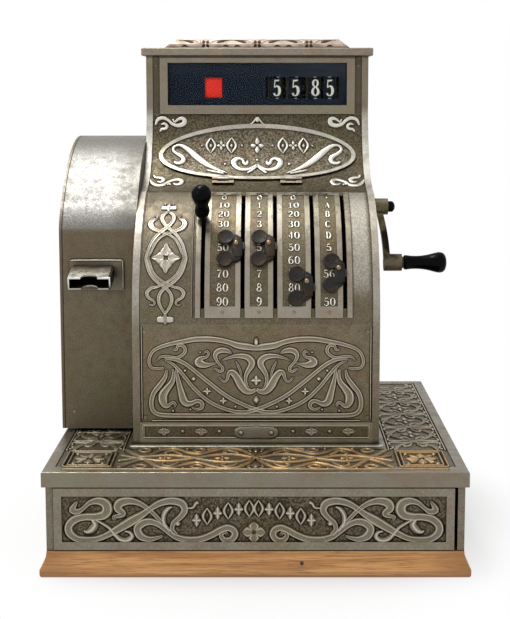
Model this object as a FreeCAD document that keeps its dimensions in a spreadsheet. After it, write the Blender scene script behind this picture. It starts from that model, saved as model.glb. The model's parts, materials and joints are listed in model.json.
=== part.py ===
"""Ticket register: an ornate cabinet with lever columns, indicator, crank, ticket box and cash drawer.

Frame: +Z up, +Y towards the back, origin at the centre of the plinth's underside. Millimetres.
"""

import FreeCAD, Part
import math
import os

import Sketcher

Vector = FreeCAD.Vector
Rotation = FreeCAD.Rotation
Placement = FreeCAD.Placement

SIZES = {
    # Base
    "plinth_width": 450, "plinth_depth": 410, "plinth_height": 27, "plinth_inset": 6.5,
    "plinth_lip": 9, "plinth_round": 4, "cove_radius": 30,
    "case_width": 437, "case_depth": 394, "case_height": 69.2, "case_wall": 7.3,
    "plate_width": 445, "plate_depth": 400, "plate_height": 16.1, "plate_skin": 6,
    "plate_rim": 11.6, "plate_front_rim": 19, "relief_depth": 1.2,
    "foot_margin": 6.2, "foot_step": 21,
    "drawer_margin": 9.5, "drawer_shift": -1.5, "drawer_proud": 2, "drawer_front_depth": 12,
    "drawer_gap": 1.5, "drawer_border": 8.5, "drawer_relief": 2,
    "tray_side_gap": 12.2, "tray_back_gap": 8.7, "tray_height": 54, "tray_wall": 9, "tray_floor": 6,
    "runner_width": 14, "runner_height": 4, "runner_inset": 8, "fit_gap": 0.3,
    "divider_thickness": 4, "divider_drop": 10, "coin_row_depth": 110,
    "cup_radius": 34, "cup_depth": 26,
    # Cabinet
    "cabinet_width": 275.6, "cabinet_back": 185, "cabinet_top": 548.6, "side_wall": 4,
    "stile_width": 7.8, "stile_depth": 4, "panel_thickness": 3, "panel_recess": 1.5,
    "key_axis_back": 56, "key_axis_height": 246.6, "key_radius": 150,
    "marquee_axis_front": 9, "marquee_axis_height": 490, "marquee_radius": 104, "ledge_rise": 1.5,
    "band_height": 23.7, "band_border": 5, "id_plate_width": 47, "id_plate_height": 10.5,
    "id_plate_depth": 1, "slot_width": 4.4, "strip_height": 2, "strip_border": 5.6,
    "strip_side_gap": 0.3, "strip_relief": 0.8, "edge_strip_width": 5.6,
    "oval_margin": 16.3, "oval_height": 83, "oval_centre_back": 66.4, "oval_centre_height": 432,
    "lid_gap": 0.5, "lid_proud": 1, "lid_thickness": 3, "lid_ring_width": 5, "lid_ring_height": 1.6,
    "lid_hinge_drop": 1, "lid_hinge_radius": 101.6, "knuckle_radius": 1.7, "pin_radius": 0.9,
    "pin_clearance": 0.06, "hinge_spacing": 82, "hinge_width": 26, "hinge_leaf_height": 4.4,
    "lid_knuckle_width": 13, "knuckle_gap": 0.3,
    "head_bottom": 477, "frame_margin": 17.1, "frame_height": 71, "frame_proud": 3,
    "glass_open_margin": 26.5, "glass_open_height": 52.6, "glass_open_centre": 514,
    "glass_thickness": 2, "glass_lap": 4, "mask_thickness": 1.2, "mask_lap": 7,
    "digit_open_before": 13.1, "digit_open_after": 12.3, "digit_open_height": 27,
    "flag_open_width": 21.5, "flag_open_height": 25,
    "cap_side": 5.2, "cap_front": 7, "cap_back": 5, "cap_height": 9.8, "cap_round": 1.5,
    "crest_side": 28, "crest_inset": 9, "crest_height": 11, "crest_bevel": 6, "crest_slope": 14,
    # Levers, racks and drums
    "shaft_radius": 5, "boss_radius": 9, "boss_height": 5, "running_gap": 0.06,
    "lever_thickness": 3, "lever_width": 8, "hub_radius": 8.5, "hub_overhang": 2.5,
    "sector_radius": 36, "tooth_module": 0.75, "rack_depth": 8, "rack_thickness": 3,
    "rack_tail": 71, "rack_bend": 60, "rack_lift": 34, "rack_head": 20,
    "guide_thickness": 4, "guide_low_height": 196, "guide_high_height": 436,
    "guide_margin": 8, "drum_axis_back": 141, "drum_axis_height": 509.5, "drum_radius": 37.5,
    "drum_width": 14, "flag_drum_width": 24, "drum_rim": 2.5, "drum_web": 2.5,
    "drum_hub_radius": 7, "drum_shaft_radius": 3.5, "pinion_radius": 6, "pinion_width": 4,
    "tab_radius": 8.5, "tab_spread": 12.5, "tab_thickness": 2, "tab_clearance": 4.5,
    "tab_bar_width": 6, "stud_radius": 2.6, "stud_height": 2, "stud_inset": 7.2, "stud_rise": 5,
    "knob_radius": 10.6, "knob_distance": 188, "knob_collar_radius": 7.3, "knob_collar_distance": 162,
    "knob_foot_distance": 153.5, "knob_waist_radius": 5.6,
    # Crank and gears
    "crank_axis_back": 35, "crank_axis_height": 367, "crank_shaft_radius": 6, "gear_module": 2,
    "gear_inset": 25.8, "gear_width": 8, "bracket_inset": 33.8, "bracket_thickness": 2.5,
    "bracket_height": 26, "bracket_margin": 14, "main_shaft_radius": 6,
    "main_shaft_overhang": 64.2,
    "bush_radius": 10, "bush_flange": 2, "crank_hub_radius": 9.8, "crank_hub_gap": 2.4,
    "crank_hub_width": 17.2, "crank_throw": 68, "crank_boss_out": 15.7, "crank_boss_width": 21.5,
    "crank_boss_radius": 10.4, "crank_arm_depth": 13, "crank_arm_thickness": 7.5,
    "crank_arm_bow": 272,
    "nut_radius": 6.5, "nut_height": 8.5, "grip_length": 52, "grip_gap": 2.4, "grip_neck_radius": 8.6,
    "grip_waist_radius": 8.3, "grip_end_radius": 13.2, "grip_pin_radius": 3.5, "grip_pin_end": 10.4,
    "grip_bore_end": 9.4, "grip_bulge_end": 8.3, "grip_waist_place": 15.6,
    # Ticket box
    "ticket_width": 88.2, "ticket_front": 43, "ticket_back": 128, "ticket_bottom": 115,
    "ticket_top": 449, "ticket_bend_height": 348.5, "ticket_knee_back": -22, "ticket_knee_height": 380,
    "ticket_knee_radius": 60, "ticket_crown_radius": 200, "ticket_sheet": 1.5, "door_thickness": 1.6,
    "door_gap": 0.3, "door_knuckle_height": 20, "door_hinge_offset": 2.2, "door_hinge_low": 170,
    "door_hinge_high": 320, "chute_inset": 15.3, "chute_width": 47.6, "chute_top": 306.6,
    "chute_height": 14, "chute_reach": 36, "chute_wall": 1.5, "chute_drop": 8.3,
    "flange_inset": 11.8, "flange_width": 62, "flange_low": 277.8, "flange_high": 313.3,
    "flange_thickness": 1.6, "notch_radius": 9.5, "knife_height": 5, "knife_thickness": 1,
    "spindle_back": 55, "spindle_height": 205, "spindle_radius": 6, "spindle_inset": 9,
    "roll_radius": 44, "roll_inset": 13, "roll_width": 62,
    "feed_radius": 16, "feed_width": 46,
    # Counter and bell
    "counter_back": 96, "counter_height": 425, "counter_shaft_radius": 3, "wheel_radius": 13,
    "wheel_width": 9, "wheel_pitch": 10, "bell_inset": 39.8, "bell_back": 20, "bell_radius": 30,
    "bell_wall": 2, "bell_lift": 16, "bell_post_radius": 3,
    # Screws
    "screw_radius": 1.9, "screw_height": 1, "small_screw_radius": 1.5, "screw_margin": 5.7,
    "screw_top_margin": 7.6, "ticket_screw_left": 14.4, "ticket_screw_right": 4.8,
    # One overrun for every cut
    "overrun": 2,
}

# Places across the cabinet as shares of its width: the lever slots, then the drums, from left to right
SLOT_SHARES = {"slot_flag": -0.217, "slot_first": -0.055, "slot_second": 0.077, "slot_third": 0.23,
               "slot_fourth": 0.359}
DRUM_SHARES = {"drum_flag": -0.198, "drum_first": 0.086, "drum_second": 0.17, "drum_third": 0.261,
               "drum_fourth": 0.326}

# Degrees
KEY_TOP_ANGLE = 70.0
SLOT_LOW_ANGLE = 7.0
SLOT_HIGH_ANGLE = 67.0
STRIP_LOW_ANGLE = 3.1
STRIP_HIGH_ANGLE = 69.0
FIELD_LOW_ANGLE = 8.0
FIELD_HIGH_ANGLE = 66.0
OVAL_SLOPE = 51.6
ROW_STEP = 6.0
ROW_NINE = 10.0
ROW_MIDDLE = 37.0
FLAG_MIDDLE = 29.0
FLAG_REST = 50.0
SECTOR_HALF_ANGLE = 34.0
PRESSURE_ANGLE = 20.0
CHUTE_ANGLE = 13.0

# How far the knee of the ticket box moves back and down for each millimetre of its sheet
KNEE_BACK = 0.8
KNEE_DOWN = 0.6

# Teeth
SECTOR_TEETH = 96
PINION_TEETH = 16
CRANK_TEETH = 20
MAIN_TEETH = 40
TOOTH_SHARE = 0.84
ADDENDUM_SHARE = 0.75
DEDENDUM_SHARE = 1.0
FOOT_SHARE = 0.46

# How many of each
NOTE_BAYS = 5
COUNTER_WHEELS = 6

FULL_TURN = 360
ALIKE = 1e-3

FLAG, FIRST, SECOND, THIRD, FOURTH = range(5)
REST_ROWS = {FIRST: 5, SECOND: 5, THIRD: 8, FOURTH: 7}
COLUMN_NAMES = ["flag", "first", "second", "third", "fourth"]

doc = FreeCAD.newDocument("ticket_register")
sheet = doc.addObject("Spreadsheet::Sheet", "sizes")


class Size:
    """A length with the words of its expression, so that a property can be bound to it."""

    def __init__(self, value, words):
        self.value = float(value)
        self.words = words

    def __add__(self, other):
        other = as_size(other)
        return Size(self.value + other.value, "(%s + %s)" % (self.words, other.words))

    def __sub__(self, other):
        other = as_size(other)
        return Size(self.value - other.value, "(%s - %s)" % (self.words, other.words))

    def __mul__(self, other):
        other = as_size(other)
        return Size(self.value * other.value, "(%s * %s)" % (self.words, other.words))

    def __truediv__(self, other):
        other = as_size(other)
        return Size(self.value / other.value, "(%s / %s)" % (self.words, other.words))

    def __neg__(self):
        return Size(-self.value, "(-%s)" % self.words)

    def __float__(self):
        return self.value

    __radd__ = __add__
    __rmul__ = __mul__

    def __rsub__(self, other):
        return as_size(other) - self


def as_size(thing):
    return thing if isinstance(thing, Size) else Size(thing, repr(float(thing)))


def cosine(angle):
    return Size(math.cos(math.radians(angle)), "cos(%r deg)" % angle)


def sine(angle):
    return Size(math.sin(math.radians(angle)), "sin(%r deg)" % angle)


def root(size):
    return Size(math.sqrt(size.value), "sqrt(%s)" % size.words)


class Sizes:
    """Every cell of the sheet under its own name."""


def fill_sheet():
    held = Sizes()
    cells = dict(SIZES)
    cells.update(SLOT_SHARES)
    cells.update(DRUM_SHARES)
    for row, (name, value) in enumerate(cells.items(), 1):
        sheet.set("A%d" % row, name)
        sheet.set("B%d" % row, repr(value))
        sheet.setAlias("B%d" % row, name)
        setattr(held, name, Size(value, "sizes.%s" % name))
    doc.recompute()
    return held


S = fill_sheet()

pieces = []


def bind(item, path, size):
    """Bind one property to its expression."""
    item.setExpression(path, as_size(size).words)


def place(item, x, y, z, axis=None, angle=0.0):
    turn = Rotation(axis, angle) if axis else Rotation()
    item.Placement = Placement(Vector(float(x), float(y), float(z)), turn)
    bind(item, "Placement.Base.x", x)
    bind(item, "Placement.Base.y", y)
    bind(item, "Placement.Base.z", z)
    return item


def keep(label, item):
    """Give a sub-part its own label and list it for writing."""
    item.Label = label
    pieces.append(item)
    return item


def box(low, high):
    item = doc.addObject("Part::Box", "block")
    for path, a, b in zip(("Length", "Width", "Height"), low, high):
        bind(item, path, as_size(b) - a)
    return place(item, *low)


AXIS_TURNS = {"X": (Vector(0, 1, 0), 90), "Y": (Vector(1, 0, 0), -90), "Z": (None, 0)}


def rod(direction, start, radius, length):
    """A cylinder that runs from start along +X, +Y or +Z."""
    item = doc.addObject("Part::Cylinder", "rod")
    bind(item, "Radius", radius)
    bind(item, "Height", length)
    axis, angle = AXIS_TURNS[direction]
    return place(item, *start, axis, angle)


def cut(base, *tools):
    for tool in tools:
        item = doc.addObject("Part::Cut", "cut")
        item.Base = base
        item.Tool = tool
        base = item
    return base


def fuse(*items):
    item = doc.addObject("Part::MultiFuse", "joined")
    item.Shapes = list(items)
    return item


def common(*items):
    item = doc.addObject("Part::MultiCommon", "shared")
    item.Shapes = list(items)
    return item


def group(*items):
    item = doc.addObject("Part::Compound", "set")
    item.Links = list(items)
    return item


def edge_between(a, b, bend):
    """A line from a to b, or the shorter arc whose centre is on the named side of the way from a to b."""
    if not bend:
        return Part.LineSegment(a, b)
    radius, side = bend
    chord = b - a
    normal = Vector(-chord.y, chord.x, 0).normalize()
    if side == "right":
        normal = -normal
    rise = math.sqrt(max(radius.value ** 2 - chord.Length ** 2 / 4, 0.0))
    centre = (a + b) / 2 + normal * rise
    middle = centre - normal * radius.value
    return Part.Arc(a, middle, b)


def draw(sketch, outline):
    """Draw a closed outline and tie each corner and each arc's radius to its expression."""
    first = sketch.GeometryCount
    count = len(outline)
    spots = [Vector(float(p[0]), float(p[1]), 0) for p in outline]
    for n, corner in enumerate(outline):
        bend = corner[2] if len(corner) > 2 else None
        sketch.addGeometry(edge_between(spots[n], spots[(n + 1) % count], bend))
    start = {}
    end = {}
    for n in range(count):
        a = spots[n]
        edge = first + n
        at_start = sketch.getPoint(edge, 1).distanceToPoint(a) < sketch.getPoint(edge, 2).distanceToPoint(a)
        start[n] = (edge, 1 if at_start else 2)
        end[n] = (edge, 2 if at_start else 1)
    for n in range(count):
        sketch.addConstraint(Sketcher.Constraint("Coincident", *end[n], *start[(n + 1) % count]))
    for n, corner in enumerate(outline):
        for kind, size in zip(("DistanceX", "DistanceY"), corner):
            size = as_size(size)
            if size.value == 0.0:
                axis = -2 if kind == "DistanceX" else -1
                sketch.addConstraint(Sketcher.Constraint("PointOnObject", *start[n], axis))
            else:
                at = sketch.addConstraint(Sketcher.Constraint(kind, -1, 1, *start[n], size.value))
                sketch.setExpression("Constraints[%d]" % at, size.words)
        if len(corner) > 2:
            radius = corner[2][0]
            at = sketch.addConstraint(Sketcher.Constraint("Radius", first + n, radius.value))
            sketch.setExpression("Constraints[%d]" % at, radius.words)


def sketched_body(plane, offset):
    """A body with one sketch on an origin plane, moved along the plane's normal."""
    body = doc.addObject("PartDesign::Body", "body")
    sketch = body.newObject("Sketcher::SketchObject", "outline")
    role = plane + "_Plane"
    support = [f for f in body.Origin.OriginFeatures if f.Role == role][0]
    sketch.AttachmentSupport = [(support, "")]
    sketch.MapMode = "FlatFace"
    sketch.AttachmentOffset = Placement(Vector(0, 0, float(offset)), Rotation())
    bind(sketch, "AttachmentOffset.Base.z", offset)
    return body, sketch


def pad(plane, low, high, outline):
    """Pad an outline from low to high along X (plane YZ), Y (plane XZ) or Z (plane XY)."""
    low, high = as_size(low), as_size(high)
    offset = -high if plane == "XZ" else low
    body, sketch = sketched_body(plane, offset)
    draw(sketch, outline)
    feature = body.newObject("PartDesign::Pad", "pad")
    feature.Profile = sketch
    bind(feature, "Length", high - low)
    return body


def turned(plane, outline, axis_name):
    """A body turned from an outline about one axis of its sketch."""
    body, sketch = sketched_body(plane, 0)
    draw(sketch, outline)
    feature = body.newObject("PartDesign::Revolution", "turned")
    feature.Profile = sketch
    feature.ReferenceAxis = (sketch, [axis_name])
    feature.Angle = FULL_TURN
    return body


def dress(body, kind, path, size, wanted):
    """Round or bevel the wanted edges of the body's last feature."""
    base = body.Tip
    doc.recompute()
    names = ["Edge%d" % n for n, edge in enumerate(base.Shape.Edges, 1) if wanted(edge.BoundBox)]
    feature = body.newObject("PartDesign::" + kind, "edges")
    feature.Base = (base, names)
    bind(feature, path, size)
    body.Tip = feature
    return body


def rectangle(x_low, y_low, x_high, y_high):
    return [(x_low, y_low), (x_high, y_low), (x_high, y_high), (x_low, y_high)]


# Levels and faces that several pieces share
plate_bottom = S.plinth_height + S.case_height
plate_top = plate_bottom + S.plate_height
half = S.cabinet_width / 2
inner_half = half - S.side_wall
panel_half = half - S.stile_width
front = S.key_axis_back - S.key_radius
head_front = S.marquee_radius - S.marquee_axis_front
panel_front = front + S.panel_recess
back_inside = S.cabinet_back - S.side_wall


def on_key(radius, angle):
    """A point at this radius and angle above the front on the keyboard's circle, as (Y, Z)."""
    return (S.key_axis_back - radius * cosine(angle), S.key_axis_height + radius * sine(angle))


def on_marquee(radius, height):
    """The point of this height on a circle about the marquee's axis, as (Y, Z)."""
    drop = S.marquee_axis_height - height
    return (root(radius * radius - drop * drop) - S.marquee_axis_front, height)


def make_plinth():
    """Oak plinth: a coved moulding that runs round all four sides."""
    def profile(width):
        out = width / 2
        up = out - S.plinth_inset
        r = S.plinth_round
        return [(r - out, 0), (out - r, 0, (r, "left")), (out, r),
                (out, S.plinth_lip, (S.cove_radius, "right")),
                (up, S.plinth_height), (-up, S.plinth_height, (S.cove_radius, "right")),
                (-out, S.plinth_lip), (-out, r, (r, "left"))]
    along = pad("XZ", -S.plinth_depth / 2, S.plinth_depth / 2, profile(S.plinth_width))
    across = pad("YZ", -S.plinth_width / 2, S.plinth_width / 2, profile(S.plinth_depth))
    keep("wood_plinth", common(along, across))


def make_case():
    out = S.case_width / 2
    deep = S.case_depth / 2
    shell = box((-out, -deep, S.plinth_height), (out, deep, plate_bottom))
    room = box((S.case_wall - out, -deep - S.overrun, S.plinth_height - S.overrun),
               (out - S.case_wall, deep - S.case_wall, plate_bottom + S.overrun))
    walls = cut(shell, room)
    rail_out = out - S.case_wall - S.runner_inset
    rails = []
    for low, high in ((-rail_out, S.runner_width - rail_out), (rail_out - S.runner_width, rail_out)):
        rails.append(box((low, S.case_wall * 2 - deep, S.plinth_height),
                         (high, deep - S.case_wall, S.plinth_height + S.runner_height)))
    keep("drawer_case", group(walls, *rails))


def make_plate():
    """Cast cover plate: flanged rim, relief field and the raised foot that the cabinet stands on."""
    out = S.plate_width / 2
    deep = S.plate_depth / 2
    body = pad("XY", plate_bottom, plate_top, rectangle(-out, -deep, out, deep))
    rounded = dress(body, "Fillet", "Radius", S.cap_round, lambda b: b.ZMin > plate_top.value - ALIKE)
    rim = out - S.case_width / 2 + S.case_wall
    under = box((rim - out, rim - deep, plate_bottom - S.overrun),
                (out - rim, deep - rim, plate_top - S.plate_skin))
    field = box((S.plate_rim - out, S.plate_front_rim - deep, plate_top - S.relief_depth),
                (out - S.plate_rim, deep - S.plate_rim, plate_top + S.overrun))
    foot_half = half + S.foot_margin
    foot = box((-foot_half, front - S.foot_step, plate_top - S.plate_skin),
               (foot_half, S.cabinet_back, plate_top))
    keep("base_cover_plate", fuse(cut(rounded, under, field), foot))


def make_drawer():
    middle = S.drawer_shift
    wide = S.case_width / 2 - S.drawer_margin
    face = -S.case_depth / 2 - S.drawer_proud
    low = S.plinth_height + S.drawer_gap
    high = plate_bottom - S.drawer_gap
    slab = box((middle - wide, face, low), (middle + wide, face + S.drawer_front_depth, high))
    b = S.drawer_border
    field = box((middle - wide + b, face - S.overrun, low + b),
                (middle + wide - b, face + S.drawer_relief, high - b))
    keep("drawer_front", cut(slab, field))
    tray_low = S.plinth_height + S.runner_height + S.fit_gap
    tray_top = tray_low + S.tray_height
    tray_front = face + S.drawer_front_depth
    tray_half = S.case_width / 2 - S.case_wall - S.tray_side_gap
    tray_back = S.case_depth / 2 - S.case_wall - S.tray_back_gap
    hull = box((-tray_half, tray_front, tray_low), (tray_half, tray_back, tray_top))
    inner = (S.tray_wall - tray_half, tray_front + S.tray_wall, tray_low + S.tray_floor)
    inner_high = (tray_half - S.tray_wall, tray_back - S.tray_wall, tray_top + S.overrun)
    keep("drawer_tray", cut(hull, box(inner, inner_high)))
    # Boards split the back of the till into five note bays; the front row holds five turned coin cups
    coin_back = inner[1] + S.coin_row_depth
    board_top = tray_top - S.divider_drop
    boards = [box((inner[0], coin_back, inner[2]),
                  (inner_high[0], coin_back + S.divider_thickness, board_top))]
    bay = (inner_high[0] - inner[0]) / NOTE_BAYS
    for n in range(1, NOTE_BAYS):
        x = inner[0] + bay * n
        t = S.divider_thickness / 2
        boards.append(box((x - t, coin_back + S.divider_thickness, inner[2]),
                          (x + t, inner_high[1], board_top)))
    keep("till_dividers", group(*boards))
    cups = box((inner[0], inner[1], inner[2]), (inner_high[0], coin_back, board_top))
    bowls = []
    reach = (S.cup_radius * S.cup_radius + S.cup_depth * S.cup_depth) / (S.cup_depth * 2)
    for n in range(NOTE_BAYS):
        ball = doc.addObject("Part::Sphere", "bowl")
        bind(ball, "Radius", reach)
        x = inner[0] + bay * (n + 0.5)
        bowls.append(place(ball, x, inner[1] + S.coin_row_depth / 2, board_top - S.cup_depth + reach))
    keep("coin_cups", cut(cups, *bowls))


def side_outline():
    """The cabinet's outline from the side: upright, convex keyboard, concave marquee, upright head."""
    top_of_keys = on_key(S.key_radius, KEY_TOP_ANGLE)
    seam = on_marquee(S.marquee_radius, top_of_keys[1])
    return [(front, plate_top), (front, S.key_axis_height, (S.key_radius, "right")), top_of_keys,
            (*seam, (S.marquee_radius, "left")), (head_front, S.marquee_axis_height),
            (head_front, S.cabinet_top), (S.cabinet_back, S.cabinet_top), (S.cabinet_back, plate_top)]


def side_room():
    """The same outline drawn in by the stile's depth; it runs past the back, top and bottom."""
    d = S.stile_depth
    top_of_keys = on_key(S.key_radius - d, KEY_TOP_ANGLE)
    seam = on_marquee(S.marquee_radius + d, top_of_keys[1])
    over = S.overrun
    return [(front + d, plate_top - over), (front + d, S.key_axis_height, (S.key_radius - d, "right")),
            top_of_keys, (*seam, (S.marquee_radius + d, "left")), (head_front + d, S.marquee_axis_height),
            (head_front + d, S.cabinet_top + over), (S.cabinet_back + over, S.cabinet_top + over),
            (S.cabinet_back + over, plate_top - over)]


BEARINGS = [("key", S.key_axis_back, S.key_axis_height, S.shaft_radius),
            ("drum", S.drum_axis_back, S.drum_axis_height, S.drum_shaft_radius),
            ("counter", S.counter_back, S.counter_height, S.counter_shaft_radius),
            ("main", S.crank_axis_back + S.gear_module * (CRANK_TEETH + MAIN_TEETH) / 2, S.crank_axis_height,
             S.main_shaft_radius)]
main_back = BEARINGS[3][1]


def make_side(sign, label):
    """A cast side wall with its front stile and the bearings of the shafts."""
    if sign < 0:
        low, high = -half, S.stile_width - half
        room_low, room_high = S.side_wall - half, S.stile_width - half + S.overrun
        boss_low = S.side_wall - half
    else:
        low, high = half - S.stile_width, half
        room_low, room_high = half - S.stile_width - S.overrun, half - S.side_wall
        boss_low = half - S.side_wall - S.boss_height
    wall = cut(pad("YZ", low, high, side_outline()), pad("YZ", room_low, room_high, side_room()))
    bosses = []
    holes = []
    places = [(y, z, r) for name, y, z, r in BEARINGS]
    if sign > 0:
        places.append((S.crank_axis_back, S.crank_axis_height, S.bush_radius - S.bush_flange))
    for y, z, radius in places:
        bosses.append(rod("X", (boss_low, y, z), radius + S.side_wall, S.boss_height))
        holes.append(rod("X", (low - S.boss_height, y, z), radius + S.running_gap,
                         S.stile_width + S.boss_height * 2))
    keep(label, cut(fuse(wall, *bosses), *holes))


def make_lower_panel():
    t = S.panel_thickness
    panel = box((-panel_half, panel_front, plate_top), (panel_half, panel_front + t, S.key_axis_height))
    keep("lower_front_panel", panel)
    b = S.band_border
    band_top = plate_top + S.band_height
    band = box((-panel_half, front, plate_top), (panel_half, panel_front, band_top))
    field = box((b - panel_half, front - S.overrun, plate_top + b),
                (panel_half - b, front + S.relief_depth, band_top - b))
    keep("base_band", cut(band, field))
    middle = plate_top + S.band_height / 2
    wide = S.id_plate_width / 2
    tall = S.id_plate_height / 2
    keep("small_plate", box((-wide, front + S.relief_depth - S.id_plate_depth, middle - tall),
                            (wide, front + S.relief_depth, middle + tall)))


def key_ring(low_radius, high_radius, low_angle, high_angle, left, right):
    """A stretch of ring about the keyboard's axis."""
    outline = [(*on_key(high_radius, low_angle), (high_radius, "right")), on_key(high_radius, high_angle),
               (*on_key(low_radius, high_angle), (low_radius, "left")), on_key(low_radius, low_angle)]
    return pad("YZ", left, right, outline)


SLOTS = [S.cabinet_width * getattr(S, name) for name in SLOT_SHARES]
DRUMS = [S.cabinet_width * getattr(S, name) for name in DRUM_SHARES]
key_face = S.key_radius - S.panel_recess


def make_keyboard():
    t = S.panel_thickness
    plate = key_ring(key_face - t, key_face, 0.0, KEY_TOP_ANGLE, -panel_half, panel_half)
    slots = []
    for x in SLOTS:
        w = S.slot_width / 2
        slots.append(key_ring(key_face - t - S.overrun, key_face + S.overrun, SLOT_LOW_ANGLE,
                              SLOT_HIGH_ANGLE,
                              x - w, x + w))
    keep("keyboard_plate", cut(plate, *slots))
    strips = []
    margin = S.slot_width / 2 + S.strip_side_gap
    top = key_face + S.strip_height
    for left_slot, right_slot in zip(SLOTS, SLOTS[1:]):
        left, right = left_slot + margin, right_slot - margin
        strip = key_ring(key_face, top, STRIP_LOW_ANGLE, STRIP_HIGH_ANGLE, left, right)
        field = key_ring(top - S.strip_relief, top + S.overrun, FIELD_LOW_ANGLE, FIELD_HIGH_ANGLE,
                         left + S.strip_border, right - S.strip_border)
        strips.append(cut(strip, field))
    outer = ((SLOTS[0] - margin - S.edge_strip_width, SLOTS[0] - margin),
             (SLOTS[-1] + margin, SLOTS[-1] + margin + S.edge_strip_width))
    for left, right in outer:
        strips.append(key_ring(key_face, top, STRIP_LOW_ANGLE, STRIP_HIGH_ANGLE, left, right))
    keep("number_strips", group(*strips))


oval_slope_back = cosine(OVAL_SLOPE)
oval_slope_up = sine(OVAL_SLOPE)


oval_width = S.cabinet_width - S.oval_margin * 2


def oval_column(inset, depth):
    """An oval column square to the marquee's chord, centred on the lid and drawn in by the inset."""
    width = oval_width - inset * 2
    height = S.oval_height - inset * 2
    body, sketch = sketched_body("XY", -depth / 2)
    axis_long = width / 2
    axis_short = height / 2
    ring = sketch.addGeometry(Part.Ellipse(Vector(0, 0, 0), axis_long.value, axis_short.value))
    sketch.addConstraint(Sketcher.Constraint("PointOnObject", ring, 3, -1))
    sketch.addConstraint(Sketcher.Constraint("PointOnObject", ring, 3, -2))
    sketch.exposeInternalGeometry(ring)
    lengths = {}
    for n in range(sketch.GeometryCount):
        shape = sketch.Geometry[n]
        if isinstance(shape, Part.LineSegment):
            lengths[n] = shape.length()
    long_line = max(lengths, key=lengths.get)
    short_line = min(lengths, key=lengths.get)
    sketch.addConstraint(Sketcher.Constraint("Horizontal", long_line))
    for line, size in ((long_line, width), (short_line, height)):
        at = sketch.addConstraint(Sketcher.Constraint("Distance", line, 1, line, 2, size.value))
        sketch.setExpression("Constraints[%d]" % at, size.words)
    feature = body.newObject("PartDesign::Pad", "pad")
    feature.Profile = sketch
    bind(feature, "Length", depth)
    return place(body, 0, S.oval_centre_back, S.oval_centre_height, Vector(1, 0, 0), OVAL_SLOPE)


def marquee_skin(outer_radius, thickness, low, high, left, right):
    """A stretch of the concave sheet between two heights."""
    r = outer_radius
    deep = outer_radius + thickness
    return pad("YZ", left, right, [(*on_marquee(r, low), (r, "left")), on_marquee(r, high),
                                   (*on_marquee(deep, high), (deep, "right")), on_marquee(deep, low)])


hinge_back = S.oval_centre_back - (S.oval_height / 2 + S.lid_hinge_drop) * oval_slope_back
hinge_height_raw = S.oval_centre_height - (S.oval_height / 2 + S.lid_hinge_drop) * oval_slope_up


def hinge_axis():
    """The lid's hinge line, in front of the panel just under the oval, as (Y, Z)."""
    dy = hinge_back + S.marquee_axis_front
    dz = hinge_height_raw - S.marquee_axis_height
    reach = root(dy * dy + dz * dz)
    share = S.lid_hinge_radius / reach
    return (dy * share - S.marquee_axis_front, S.marquee_axis_height + dz * share)


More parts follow.
